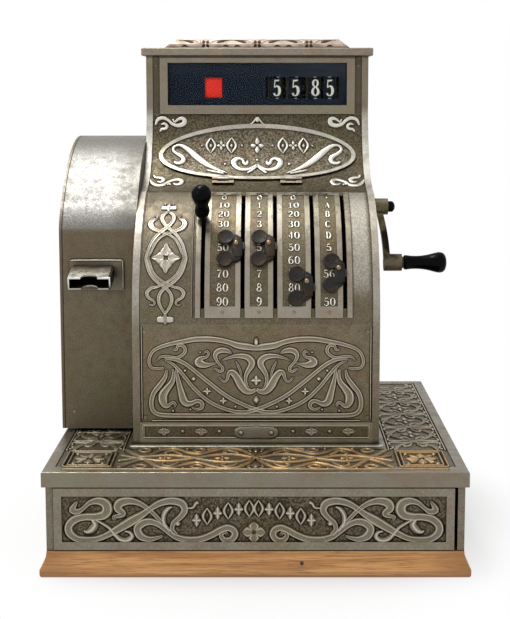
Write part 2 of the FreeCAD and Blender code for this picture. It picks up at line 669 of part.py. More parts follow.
def make_marquee():
    r = S.marquee_radius + S.panel_recess
    t = S.panel_thickness
    low_out = on_key(key_face, KEY_TOP_ANGLE)
    low_in = on_key(key_face - t, KEY_TOP_ANGLE)
    start = on_marquee(r, low_out[1] + S.ledge_rise)
    start_in = on_marquee(r + t, low_out[1] + S.ledge_rise - t)
    end = on_marquee(r, S.head_bottom)
    end_in = on_marquee(r + t, S.head_bottom)
    outline = [low_out, (*start, (r, "left")), end, (*end_in, (r + t, "right")), start_in, low_in]
    panel = pad("YZ", -panel_half, panel_half, outline)
    keep("marquee_panel", cut(panel, oval_column(as_size(0), S.oval_height)))
    surface = r - S.lid_proud
    low = on_key(key_face, KEY_TOP_ANGLE)[1] + S.ledge_rise
    sheet_of_lid = marquee_skin(surface, S.lid_thickness, low, S.head_bottom, -half, half)
    lid = common(sheet_of_lid, oval_column(S.lid_gap, S.oval_height))
    ring_sheet = marquee_skin(surface - S.lid_ring_height, S.lid_ring_height, low,
                              S.head_bottom, -half, half)
    ring = cut(common(ring_sheet, oval_column(S.lid_gap, S.oval_height)),
               oval_column(S.lid_gap + S.lid_ring_width, S.oval_height + S.overrun))
    axis_back, axis_height = hinge_axis()
    lean_up = (axis_back + S.marquee_axis_front) / S.lid_hinge_radius
    lean_back = (S.marquee_axis_height - axis_height) / S.lid_hinge_radius
    lean = math.degrees(math.atan2(lean_up.value, lean_back.value))
    arms = []
    bores = []
    leaves = []
    k = S.knuckle_radius
    for side in (-1, 1):
        x = S.hinge_spacing / 2 * side
        w = S.lid_knuckle_width / 2
        arms.append(rod("X", (x - w, axis_back, axis_height), k, S.lid_knuckle_width))
        deep = S.marquee_radius - S.lid_hinge_radius + S.lid_proud
        arm = box((0, 0, 0), (S.lid_knuckle_width, S.lid_ring_width + k, deep + k / 2))
        arms.append(place(arm, x - w, axis_back + deep * lean_up, axis_height - deep * lean_back,
                          Vector(1, 0, 0), lean))
        bores.append(rod("X", (x - w - S.overrun, axis_back, axis_height), S.pin_radius + S.pin_clearance,
                         S.lid_knuckle_width + S.overrun * 2))
        outer = S.hinge_width / 2
        leaf_face = S.lid_hinge_radius + k / 2
        slab = marquee_skin(leaf_face, r - leaf_face,
                            axis_height - S.hinge_leaf_height, axis_height - k / 2,
                            x - outer, x + outer)
        slab = cut(slab, oval_column(as_size(0), S.oval_height))
        barrels = []
        for a, b in ((x - outer, x - w - S.knuckle_gap), (x + w + S.knuckle_gap, x + outer)):
            barrels.append(rod("X", (a, axis_back, axis_height), k, b - a))
        pin_hole = rod("X", (x - outer - S.overrun, axis_back, axis_height), S.pin_radius,
                       S.hinge_width + S.overrun * 2)
        room = box((x - w - S.knuckle_gap, axis_back - k * 2, axis_height - k * 2),
                   (x + w + S.knuckle_gap, axis_back + k * 4, axis_height + k * 2))
        leaves.append(cut(fuse(slab, *barrels), room, pin_hole))
    keep("oval_lid", cut(fuse(lid, ring, *arms), *bores))
    return leaves


def make_head():
    f = head_front + S.panel_recess
    t = S.panel_thickness
    c = S.glass_open_centre
    ow = half - S.glass_open_margin
    oh = S.glass_open_height / 2
    plate = box((-panel_half, f, S.head_bottom), (panel_half, f + t, S.cabinet_top))
    fw = half - S.frame_margin
    raised = box((-fw, f - S.frame_proud, S.head_bottom), (fw, f + t, S.head_bottom + S.frame_height))
    opening = pad("XZ", f - S.frame_proud - S.overrun, f + t + S.overrun,
                  rectangle(-ow, c - oh, ow, c + oh))
    keep("window_frame", cut(fuse(plate, raised), opening))
    lap = S.glass_lap
    glass_back = f + t + S.glass_thickness
    keep("window_glass", box((-ow - lap, f + t, c - oh - lap), (ow + lap, glass_back, c + oh + lap)))
    lap = S.mask_lap
    mask_low = c - oh - lap + S.mask_thickness
    mask = box((-ow - lap, glass_back, mask_low),
               (ow + lap, glass_back + S.mask_thickness, c + oh + lap - S.overrun))
    eye = S.digit_open_height / 2
    digits = box((DRUMS[FIRST] - S.digit_open_before, glass_back - S.overrun, S.drum_axis_height - eye),
                 (DRUMS[FOURTH] + S.digit_open_after, glass_back + S.overrun * 2, S.drum_axis_height + eye))
    fw = S.flag_open_width / 2
    fh = S.flag_open_height / 2
    flag = box((DRUMS[FLAG] - fw, glass_back - S.overrun, S.drum_axis_height - fh),
               (DRUMS[FLAG] + fw, glass_back + S.overrun * 2, S.drum_axis_height + fh))
    keep("indicator_mask", cut(mask, digits, flag))


def make_cap():
    wide = half + S.cap_side
    cap_front = head_front - S.cap_front
    cap_back = S.cabinet_back + S.cap_back
    base = S.cabinet_top + S.cap_height
    cap = pad("XY", S.cabinet_top, base, rectangle(-wide, cap_front, wide, cap_back))
    keep("top_cap", dress(cap, "Fillet", "Radius", S.cap_round, lambda b: b.ZLength < ALIKE))
    wide = wide - S.crest_side
    top = base + S.crest_height
    crest = pad("XZ", cap_front + S.crest_inset, cap_back - S.crest_inset,
                [(-wide, base), (wide, base), (wide - S.crest_slope, top), (S.crest_slope - wide, top)])
    keep("top_crest", dress(crest, "Chamfer", "Size", S.crest_bevel,
                            lambda b: b.ZMin > top.value - ALIKE and b.YLength < ALIKE))


def make_back():
    keep("cabinet_back", box((-inner_half, back_inside, plate_top),
                             (inner_half, S.cabinet_back, S.cabinet_top)))


def tooth_corners(pitch_angle, pitch_radius, module, middle_angle):
    """The four corners of one gear tooth, as (radius, angle) pairs."""
    half_width = math.pi * module / 4 * TOOTH_SHARE
    slope = math.tan(math.radians(PRESSURE_ANGLE))
    tip = pitch_radius + ADDENDUM_SHARE * module
    foot = pitch_radius - DEDENDUM_SHARE * module
    tip_half = (half_width - slope * ADDENDUM_SHARE * module) / tip
    foot_half = min((half_width + slope * DEDENDUM_SHARE * module) / foot, pitch_angle * FOOT_SHARE)
    return [(foot, middle_angle - foot_half), (tip, middle_angle - tip_half),
            (tip, middle_angle + tip_half), (foot, middle_angle + foot_half)]


def gear_wheel(x, y, z, module, teeth, width, bore, first_angle=0.0):
    """A spur gear about an axis along X. The angle of its first tooth is counted from +Y to +Z."""
    pitch_radius = module * teeth / 2
    step = 2 * math.pi / teeth
    corners = []
    for n in range(teeth):
        corners += tooth_corners(step, pitch_radius, module, math.radians(first_angle) + n * step)
    spots = [Vector(0, r * math.cos(a), r * math.sin(a)) for r, a in corners]
    blank = Part.Face(Part.makePolygon(spots + spots[:1])).extrude(Vector(float(width), 0, 0))
    if bore:
        blank = blank.cut(Part.makeCylinder(float(bore), float(width), Vector(), Vector(1, 0, 0)))
    return feature_of(blank, x, y, z)


def feature_of(shape, x, y, z):
    item = doc.addObject("Part::Feature", "formed")
    item.Shape = shape
    return place(item, x, y, z)


def rest_angle(column):
    if column == FLAG:
        return FLAG_REST
    return ROW_NINE + ROW_STEP * (9 - REST_ROWS[column])


def middle_angle(column):
    return FLAG_MIDDLE if column == FLAG else ROW_MIDDLE


def drum_half(column):
    return (S.flag_drum_width if column == FLAG else S.drum_width) / 2


def rack_place(column):
    """The middle of a rack across the cabinet: left of its drum, but right of the flag's and the last."""
    reach = drum_half(column) + S.pinion_width / 2
    return DRUMS[column] + reach if column in (FLAG, FOURTH) else DRUMS[column] - reach


def sector_shape(column):
    """The toothed sector behind the lever's hub, in the lever's own frame."""
    module = float(S.tooth_module)
    radius = float(S.sector_radius)
    step = 2 * math.pi / SECTOR_TEETH
    middle = math.radians(middle_angle(column))
    count = int(math.radians(SECTOR_HALF_ANGLE) / step)
    corners = []
    for n in range(-count, count + 1):
        corners += tooth_corners(step, radius, module, middle + n * step)
    outer = [Vector(0, r * math.cos(a), r * math.sin(a)) for r, a in corners]
    outline = [Vector(0, 0, 0)] + outer + [Vector(0, 0, 0)]
    return Part.Face(Part.makePolygon(outline)).extrude(Vector(float(S.rack_thickness), 0, 0))


def make_levers():
    """Each lever: an arm through its slot, a sleeve on the shaft and a toothed sector behind."""
    for column, name in enumerate(COLUMN_NAMES):
        slot = SLOTS[column]
        rack = rack_place(column)
        left = min((slot, rack), key=float) - S.hub_overhang
        right = max((slot, rack), key=float) + S.hub_overhang
        t = S.lever_thickness / 2
        reach = S.knob_foot_distance if column == FLAG else key_face + S.strip_height + S.tab_clearance
        w = S.lever_width / 2
        hub = rod("X", (left, 0, 0), S.hub_radius, right - left)
        arm = box((slot - t, -reach, -w), (slot + t, 0, w))
        sector = feature_of(sector_shape(column), rack - S.rack_thickness / 2, 0, 0)
        bore = rod("X", (left - S.overrun, 0, 0), S.shaft_radius + S.running_gap, right - left + S.overrun * 2)
        solid = cut(fuse(hub, arm, sector), bore)
        angle = -rest_angle(column)
        lever = place(solid, 0, S.key_axis_back, S.key_axis_height, Vector(1, 0, 0), angle)
        keep("lever_" + name, lever)
        if column == FLAG:
            make_knob(slot, angle)
        else:
            make_tabs(column, angle, reach)


def make_knob(slot, angle):
    """Turned black knob: a collar, a waist and a pear-shaped ball, on the end of the first lever."""
    waist = S.knob_waist_radius
    collar = S.knob_collar_radius
    ball = S.knob_radius
    foot = S.knob_foot_distance
    collar_at = S.knob_collar_distance
    ball_at = S.knob_distance
    hip = (collar_at + ball_at) / 2 - waist / 2
    outline = [(0, -foot), (waist, -foot, (collar, "right")), (collar, -collar_at, (collar * 2, "right")),
               (waist, -hip, (ball * 2, "left")), (ball, -ball_at, (ball, "right")), (0, -ball_at - ball)]
    body = turned("XY", outline, "V_Axis")
    keep("lever_knob", place(body, slot, S.key_axis_back, S.key_axis_height, Vector(1, 0, 0), angle))


def make_tabs(column, angle, reach):
    """Two round finger tabs on a forked plate, carried by the end of the lever."""
    slot = SLOTS[column]
    centre = (SLOTS[column - 1] + slot) / 2 + S.lever_thickness
    spread = S.tab_spread
    r = S.tab_radius
    low, high = -reach - S.tab_thickness, -reach
    bar = S.tab_bar_width
    edge = slot + S.lever_thickness / 2
    spine = box((edge - bar, low, -spread), (edge, high, spread))
    shapes = [spine]
    for way in (-1, 1):
        z = spread * way
        shapes.append(rod("Y", (centre, low, z), r, S.tab_thickness))
        shapes.append(box((centre, low, z - bar / 2), (edge, high, z + bar / 2)))
    shapes.append(rod("Y", (edge - S.stud_inset, low - S.stud_height, S.stud_rise),
                      S.stud_radius, S.stud_height * 2))
    tabs = place(fuse(*shapes), 0, S.key_axis_back, S.key_axis_height, Vector(1, 0, 0), angle)
    keep("finger_tabs_" + COLUMN_NAMES[column], tabs)


def rack_teeth(reach, pitch_y, height, way, module):
    """The zigzag of a rack's toothed edge, upwards; way is +1 where the teeth point to +Y."""
    pitch = math.pi * module
    half_width = pitch / 4 * TOOTH_SHARE
    slope = math.tan(math.radians(PRESSURE_ANGLE))
    tip_half = half_width - slope * ADDENDUM_SHARE * module
    foot_half = half_width + slope * DEDENDUM_SHARE * module
    tip = pitch_y + way * ADDENDUM_SHARE * module
    foot = pitch_y - way * DEDENDUM_SHARE * module
    count = int(reach / pitch)
    points = []
    for n in range(-count, count):
        z = height + (n + 0.5) * pitch
        points += [(foot, z - foot_half), (tip, z - tip_half), (tip, z + tip_half), (foot, z + foot_half)]
    return points


def make_racks():
    """Cranked rack bars that carry each lever's travel up to its drum."""
    module = float(S.tooth_module)
    front_line = float(S.key_axis_back + S.sector_radius)
    head_line = float(S.drum_axis_back - S.pinion_radius)
    deep = float(S.rack_depth)
    foot = DEDENDUM_SHARE * module
    reach = float(S.rack_head)
    low = float(S.key_axis_height - S.rack_tail)
    knee = float(S.key_axis_height + S.rack_bend)
    knee_top = knee + float(S.rack_lift)
    top = float(S.drum_axis_height + S.rack_head)
    tail_back = front_line + foot + deep
    head_front_line = head_line - foot - deep
    key_height = float(S.key_axis_height)
    drum_height = float(S.drum_axis_height)
    for column, name in enumerate(COLUMN_NAMES):
        edge = [(front_line + foot, low)]
        edge += rack_teeth(reach, front_line, key_height, -1, module)
        edge += [(front_line + foot, knee), (head_front_line, knee_top), (head_front_line, top),
                 (head_line - foot, top)]
        edge += list(reversed(rack_teeth(reach, head_line, drum_height, 1, module)))
        edge += [(head_line - foot, knee_top), (tail_back, knee), (tail_back, low)]
        spots = [Vector(0, y, z) for y, z in edge]
        thick = float(S.rack_thickness)
        bar = Part.Face(Part.makePolygon(spots + spots[:1])).extrude(Vector(thick, 0, 0))
        lift = math.radians(middle_angle(column) - rest_angle(column))
        keep("rack_" + name, feature_of(bar, rack_place(column) - S.rack_thickness / 2,
                                        0, S.sector_radius * lift))


def make_drums():
    """Indicator drums: rim, web and hub turned in one, with the pinion beside the rim."""
    for column, name in enumerate(COLUMN_NAMES):
        wide = drum_half(column)
        rim = S.drum_radius - S.drum_rim
        web = S.drum_web / 2
        hub = S.drum_hub_radius
        bore = S.drum_shaft_radius + S.running_gap
        outline = [(-wide, bore), (wide, bore), (wide, hub), (web, hub), (web, rim), (wide, rim),
                   (wide, S.drum_radius), (-wide, S.drum_radius), (-wide, rim), (-web, rim), (-web, hub),
                   (-wide, hub)]
        body = turned("XZ", outline, "H_Axis")
        rack = rack_place(column)
        start = rack - S.pinion_width / 2 - DRUMS[column]
        pinion = gear_wheel(start, 0, 0, float(S.tooth_module), PINION_TEETH, S.pinion_width, bore, 180.0)
        turn = -(middle_angle(column) - rest_angle(column)) * SECTOR_TEETH / PINION_TEETH
        drum = place(fuse(body, pinion), DRUMS[column], S.drum_axis_back, S.drum_axis_height,
                     Vector(1, 0, 0), turn)
        keep("drum_" + name, drum)


def make_shafts():
    shafts = [rod("X", (-half, y, z), radius, S.cabinet_width) for name, y, z, radius in BEARINGS[:3]]
    spindle_left = S.spindle_inset - half - S.ticket_width
    shafts.append(rod("X", (spindle_left, S.spindle_back, S.spindle_height), S.spindle_radius,
                      -half - spindle_left))
    keep("cross_shafts", group(*shafts))
    guides = []
    for height, line, way in ((S.guide_low_height, S.key_axis_back + S.sector_radius, 1),
                              (S.guide_high_height, S.drum_axis_back - S.pinion_radius, -1)):
        foot = S.tooth_module * DEDENDUM_SHARE
        if way > 0:
            low_y, high_y = line + foot, line + foot + S.rack_depth
        else:
            low_y, high_y = line - foot - S.rack_depth, line - foot
        shelf = box((-inner_half, low_y - S.guide_margin, height),
                    (inner_half, back_inside, height + S.guide_thickness))
        holes = []
        gap = S.fit_gap
        for column in range(len(SLOTS)):
            x = rack_place(column)
            t = S.rack_thickness / 2 + gap
            holes.append(box((x - t, low_y - gap, height - S.overrun),
                             (x + t, high_y + gap, height + S.guide_thickness + S.overrun)))
        guides.append(cut(shelf, *holes))
    return guides


def make_crank():
    y, z = S.crank_axis_back, S.crank_axis_height
    low_z = z - S.crank_throw
    shaft_start = half - S.bracket_inset
    hub_start = half + S.crank_hub_gap
    boss_start = half + S.crank_boss_out
    hub_end = hub_start + S.crank_hub_width
    shaft = rod("X", (shaft_start, y, z), S.crank_shaft_radius, hub_end - shaft_start)
    pinion = gear_wheel(half - S.gear_inset, y, z, float(S.gear_module), CRANK_TEETH,
                        S.gear_width, None, 0.0)
    keep("crank_shaft", fuse(shaft, pinion))
    hole = S.crank_shaft_radius + S.running_gap
    bush = rod("X", (half - S.side_wall, y, z), S.bush_radius - S.bush_flange, S.side_wall)
    flange = rod("X", (half, y, z), S.bush_radius, S.bush_flange)
    bore = rod("X", (half - S.side_wall - S.overrun, y, z), hole, S.side_wall + S.bush_flange + S.overrun * 2)
    keep("crank_bush", cut(fuse(bush, flange), bore))
    hub = rod("X", (hub_start, y, z), S.crank_hub_radius, S.crank_hub_width)
    boss = rod("X", (boss_start, y, low_z), S.crank_boss_radius, S.crank_boss_width)
    t = S.crank_arm_thickness
    top_x = hub_start + t / 2
    bow = S.crank_arm_bow
    arm = pad("XZ", y - S.crank_arm_depth / 2, y + S.crank_arm_depth / 2,
              [(top_x, z - t, (bow, "right")), (boss_start, low_z),
               (boss_start + t, low_z, (bow, "left")), (top_x + t, z - t)])
    core = rod("X", (hub_start - S.overrun, y, z), S.crank_shaft_radius, S.crank_hub_width + S.overrun * 2)
    grip_start = boss_start + S.crank_boss_width + S.grip_gap
    pin = rod("X", (boss_start + t, y, low_z), S.grip_pin_radius,
              grip_start + S.grip_length - S.grip_pin_end - boss_start - t)
    keep("crank_arm", cut(fuse(hub, boss, arm, pin), core))
    r = S.nut_radius
    nut = [(0, 0), (S.nut_height, 0), (S.nut_height, r / 4, (r, "left")), (S.nut_height - r / 2, r), (0, r)]
    keep("crank_nut", place(turned("XZ", nut, "H_Axis"), hub_end, y, z))
    long = S.grip_length
    bore = S.grip_pin_radius + S.running_gap
    end = S.grip_end_radius
    deep = long - S.grip_bore_end
    grip = [(0, bore), (deep, bore), (deep, 0), (long, 0), (long, S.grip_pin_radius, (end, "left")),
            (long - S.grip_bulge_end, end, (long, "right")), (S.grip_waist_place, S.grip_waist_radius),
            (0, S.grip_neck_radius)]
    keep("crank_grip", place(turned("XZ", grip, "H_Axis"), grip_start, y, low_z))


def make_main_shaft(guides):
    y, z = main_back, S.crank_axis_height
    gear_left = half - S.gear_inset
    bracket_left = half - S.bracket_inset
    left = -half - S.main_shaft_overhang
    half_tooth = FULL_TURN / MAIN_TEETH / 2
    gear = gear_wheel(gear_left, y, z, float(S.gear_module), MAIN_TEETH, S.gear_width, None, half_tooth)
    shaft = rod("X", (left, y, z), S.main_shaft_radius, half - left)
    keep("main_gear", cut(gear, rod("X", (gear_left - S.overrun, y, z), S.main_shaft_radius,
                                    S.gear_width + S.overrun * 2)))
    feed = rod("X", (left, y, z), S.feed_radius, S.feed_width)
    keep("main_shaft", fuse(shaft, feed))
    tall = S.bracket_height / 2
    plate = box((bracket_left, S.crank_axis_back - S.bracket_margin, z - tall),
                (bracket_left + S.bracket_thickness, back_inside, z + tall))
    holes = []
    for spot in (S.crank_axis_back, y):
        holes.append(rod("X", (bracket_left - S.overrun, spot, z), S.crank_shaft_radius + S.running_gap,
                         S.bracket_thickness + S.overrun * 2))
    keep("inner_frames", group(cut(plate, *holes), *guides))


def ticket_outline(inset):
    """The box's outline from the side: upright front, a bend and a long crown to the back."""
    knee = (S.ticket_knee_radius - inset, "right")
    crown = (S.ticket_crown_radius - inset, "right")
    return [(inset - S.ticket_front, S.ticket_bottom + inset),
            (inset - S.ticket_front, S.ticket_bend_height, knee),
            (S.ticket_knee_back + inset * KNEE_BACK, S.ticket_knee_height - inset * KNEE_DOWN, crown),
            (S.ticket_back - inset, S.ticket_top - inset), (S.ticket_back - inset, S.ticket_bottom + inset)]


ticket_left = -half - S.ticket_width
chute_left = ticket_left + S.chute_inset


def make_ticket_box(leaves):
    left = ticket_left
    door_in = left + S.door_thickness
    shell_left = door_in + S.door_gap
    skin = pad("YZ", shell_left, -half, ticket_outline(as_size(0)))
    room = pad("YZ", shell_left - S.overrun, -half + S.overrun, ticket_outline(S.ticket_sheet))
    mouth_low = S.chute_top - S.chute_height
    mouth = box((chute_left + S.chute_wall, -S.ticket_front - S.overrun, mouth_low + S.chute_wall),
                (chute_left + S.chute_width - S.chute_wall, S.ticket_sheet * 2 - S.ticket_front,
                 S.chute_top - S.chute_wall))
    axis_x = left + S.door_thickness / 2
    axis_y = S.ticket_back + S.door_hinge_offset
    k = S.knuckle_radius
    tall = S.door_knuckle_height
    shell_parts = []
    door_parts = []
    holes = []
    wide_holes = []
    pins = []
    for low in (S.door_hinge_low, S.door_hinge_high):
        for start in (low - tall / 2 - S.knuckle_gap, low + tall + S.knuckle_gap):
            shell_parts.append(rod("Z", (axis_x, axis_y, start), k, tall / 2))
            shell_parts.append(box((axis_x, axis_y - k, start),
                                   (shell_left + k * 4, axis_y - k / 2, start + tall / 2)))
            shell_parts.append(box((shell_left + k, S.ticket_back - S.ticket_sheet / 2, start),
                                   (shell_left + k * 4, axis_y - k / 2, start + tall / 2)))
        door_parts.append(rod("Z", (axis_x, axis_y, low), k, tall))
        door_parts.append(box((left, S.ticket_back - k, low), (door_in, axis_y, low + tall)))
        span = tall * 2 + S.knuckle_gap * 2
        start = low - tall / 2 - S.knuckle_gap
        holes.append(rod("Z", (axis_x, axis_y, start - S.overrun), S.pin_radius, span + S.overrun * 2))
        wide_holes.append(rod("Z", (axis_x, axis_y, low - S.overrun), S.pin_radius + S.pin_clearance,
                              tall + S.overrun * 2))
        pins.append(rod("Z", (axis_x, axis_y, start), S.pin_radius, span))
    keep("ticket_box_shell", cut(fuse(cut(skin, room, mouth), *shell_parts), *holes))
    door = pad("YZ", left, door_in, ticket_outline(as_size(0)))
    keep("ticket_box_door", cut(fuse(door, *door_parts), *wide_holes))
    axis_back, axis_height = hinge_axis()
    for side in (-1, 1):
        x = S.hinge_spacing / 2 * side - S.hinge_width / 2
        pins.append(rod("X", (x, axis_back, axis_height), S.pin_radius, S.hinge_width))
    keep("hinge_leaves_and_pins", group(*leaves, *pins))


def make_chute():
    """Ticket chute: a flange on the box's front and a hood that slopes down to a thumb notch."""
    x = chute_left
    w = S.chute_wall
    outer = box((0, 0, 0), (S.chute_width, S.chute_reach, S.chute_height))
    bore = box((w, -S.overrun, w), (S.chute_width - w, S.chute_reach + S.overrun, S.chute_height - w))
    notch = rod("Z", (S.chute_width / 2, 0, -S.overrun), S.notch_radius, S.chute_height + S.overrun * 2)
    hood = cut(outer, bore, notch)
    lean = Vector(1, 0, 0)
    face = -S.ticket_front
    hood = place(hood, x, face - S.chute_reach, S.chute_top - S.chute_height - S.chute_drop,
                 lean, CHUTE_ANGLE)
    trim = box((x - S.overrun, face, S.flange_low - S.chute_height), (x + S.chute_width + S.overrun,
               face + S.chute_reach, S.flange_high + S.chute_height))
    flange_left = ticket_left + S.flange_inset
    flange = box((flange_left, face - S.flange_thickness, S.flange_low),
                 (flange_left + S.flange_width, face, S.flange_high))
    mouth = box((x + w, face - S.flange_thickness - S.overrun, S.chute_top - S.chute_height + w),
                (x + S.chute_width - w, face + S.overrun, S.chute_top - w))
    hooded = fuse(cut(flange, mouth), cut(hood, trim))
    knife_low = S.chute_top - S.chute_height + w
    knife = box((x + w, face - S.flange_thickness - S.knife_thickness, knife_low - S.knife_thickness),
                (x + S.chute_width - w, face - S.flange_thickness, knife_low + S.knife_height))
    keep("ticket_chute", group(hooded, knife))


def make_paper():
    y, z = S.spindle_back, S.spindle_height
    left = ticket_left + S.roll_inset
    bore = rod("X", (left - S.overrun, y, z), S.spindle_radius + S.running_gap,
               S.roll_width + S.overrun * 2)
    keep("paper_roll", cut(rod("X", (left, y, z), S.roll_radius, S.roll_width), bore))


def make_counter():
    """Counting wheels that the open lid shows."""
    wheels = []
    for n in range(COUNTER_WHEELS):
        x = S.wheel_pitch * (n - COUNTER_WHEELS / 2) + (S.wheel_pitch - S.wheel_width) / 2
        spot = (x, S.counter_back, S.counter_height)
        bore = rod("X", (x - S.overrun, *spot[1:]), S.counter_shaft_radius + S.running_gap,
                   S.wheel_width + S.overrun * 2)
        wheels.append(cut(rod("X", spot, S.wheel_radius, S.wheel_width), bore))
    keep("counter_wheels", group(*wheels))


def make_bell():
    r = S.bell_radius
    w = S.bell_wall
    post = S.bell_post_radius
    dome = [(0, r), (0, r - w, (r - w, "right")), (r - w, 0), (r, 0, (r, "left"))]
    x = S.bell_inset - half
    gong = place(turned("XZ", dome, "V_Axis"), x, S.bell_back, plate_top + S.bell_lift)
    hole = rod("Z", (x, S.bell_back, plate_top + S.bell_lift), post, r * 2)
    stem = rod("Z", (x, S.bell_back, plate_top), post, S.bell_lift + r + w)
    keep("bell", group(cut(gong, hole), stem))


def make_screws():
    """Round screw heads on the panels, the strips and the ticket box."""
    heads = []
    low = plate_top + S.band_height + S.screw_margin
    high = S.key_axis_height - S.screw_top_margin
    side = panel_half - S.screw_margin
    for x in (-side, side):
        for z in (low, high):
            heads.append(rod("Y", (x, panel_front - S.screw_height, z), S.screw_radius, S.screw_height))
    for x in (ticket_left + S.ticket_screw_left, -half - S.ticket_screw_right):
        z = S.ticket_bottom + S.door_knuckle_height
        heads.append(rod("Y", (x, -S.ticket_front - S.screw_height, z), S.screw_radius, S.screw_height))
    margin = S.slot_width / 2 + S.strip_side_gap
    top = key_face + S.strip_height
    for left_slot, right_slot in zip(SLOTS, SLOTS[1:]):
        x = (left_slot + right_slot) / 2
        for angle in ((STRIP_LOW_ANGLE + FIELD_LOW_ANGLE) / 2, (STRIP_HIGH_ANGLE + FIELD_HIGH_ANGLE) / 2):
            head = rod("Y", (x, 0, 0), S.small_screw_radius, S.screw_height)
            y, z = on_key(top + S.screw_height, angle)
            head = place(head, x, y, z, Vector(1, 0, 0), -90 - angle)
            heads.append(head)
    keep("panel_screws", group(*heads))


def write_parts():
    doc.recompute()
    for item in doc.Objects:
        if "Invalid" in item.State or "Error" in item.State:
            raise RuntimeError("%s (%s) is %s" % (item.Name, item.Label, item.State))
    for item in pieces:
        if item.Shape.isNull() or not item.Shape.isValid() or not item.Shape.Solids:
            raise RuntimeError("%s has no valid solid" % item.Label)
    os.makedirs("parts", exist_ok=True)
    for item in pieces:
        item.Shape.exportStep(os.path.join("parts", item.Label + ".step"))
    print("wrote %d parts" % len(pieces))


make_plinth()
make_case()
make_plate()
make_drawer()
make_side(-1, "cabinet_left_side")
make_side(1, "cabinet_right_side")
make_back()
make_lower_panel()
make_keyboard()
lid_leaves = make_marquee()
make_head()
make_cap()
make_levers()
make_racks()
make_drums()
rack_shelves = make_shafts()
make_crank()
make_main_shaft(rack_shelves)
make_ticket_box(lid_leaves)
make_chute()
make_paper()
make_counter()
make_bell()
make_screws()
write_parts()
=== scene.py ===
"""Looks of an old lever-set ticket register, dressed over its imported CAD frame."""

import json
import math

import bmesh
import bpy
import numpy as np
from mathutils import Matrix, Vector


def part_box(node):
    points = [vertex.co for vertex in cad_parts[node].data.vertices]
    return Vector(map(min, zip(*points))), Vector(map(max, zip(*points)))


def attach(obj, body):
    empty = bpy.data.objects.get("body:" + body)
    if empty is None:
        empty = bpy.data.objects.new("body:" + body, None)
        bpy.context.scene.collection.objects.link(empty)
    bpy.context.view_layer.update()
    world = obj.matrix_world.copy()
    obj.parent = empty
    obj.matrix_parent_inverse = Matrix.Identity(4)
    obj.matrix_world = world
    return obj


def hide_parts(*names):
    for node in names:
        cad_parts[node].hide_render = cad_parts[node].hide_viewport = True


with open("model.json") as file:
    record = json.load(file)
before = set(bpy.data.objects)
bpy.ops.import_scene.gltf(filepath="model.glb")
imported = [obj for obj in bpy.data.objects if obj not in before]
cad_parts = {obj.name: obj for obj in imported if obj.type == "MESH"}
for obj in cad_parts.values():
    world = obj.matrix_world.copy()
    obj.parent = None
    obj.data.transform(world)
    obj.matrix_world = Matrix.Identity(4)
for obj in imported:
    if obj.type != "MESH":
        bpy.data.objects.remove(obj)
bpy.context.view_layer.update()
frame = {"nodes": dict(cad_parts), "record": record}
NODES = frame["nodes"]
scene = bpy.context.scene
MM = 0.001

# The camera, in millimetres and pixels of the 510 by 619 photograph
EYE = np.array([12.3, -1413.0, 502.7])
TILT = math.radians(6.5)
FOCAL = 1206.0
CENTRE = (267.2, 230.6)
IMAGE = (510, 619)

# CAD faces that carry ornament, in millimetres: an upright face's Y, a level one's Z, or the (Y, Z) of an axis along X
PANEL_Y = -92.5
BAND_Y = -92.8
SMALL_PLATE_Y = -94.0
DRAWER_Y = -197.0
CHUTE_Y = -44.6
WINDOW_FRAME_Y = 96.5
CREST_Y = 97.0
PLATE_TOP = 111.1
PLATE_RIM_TOP = 112.3
KEY_AXIS, KEY_RADIUS, STRIP_RADIUS = (56.0, 246.6), 148.5, 149.7
HEAD_AXIS, HEAD_RADIUS, LID_RADIUS = (-9.0, 490.0), 105.5, 104.5
DRUM_AXIS, DRUM_RADIUS = (141.0, 509.5), 37.5
HEAD_SHIFT = (-2.3, 0.0)
# The angle of a number strip's lowest row, from one row to the next, and from one figure of a drum to the next
LOWEST_ROW, ROW_STEP, FIGURE_STEP = 10, 6, 36

# Tones that several looks share, as linear colours, and the stretch of brush lines
RIM = (0.305, 0.272, 0.216)
GROUND = (0.225, 0.184, 0.124)
DARK = (0.030, 0.021, 0.012)
# A near black for soot stains and for painted shade
SOOT_AND_SHADE = (0.012, 0.01, 0.008)
GOLD = (0.40, 0.245, 0.105)
# A pale tone for painted sheen: painted highlights on the cabinet's sides and on the chute's top
PAINTED_SHEEN = (0.56, 0.54, 0.49)
ACROSS = (0.06, 1.0, 1.0)
UPRIGHT = (1.0, 1.0, 0.06)


# ---------------------------------------------------------------- materials


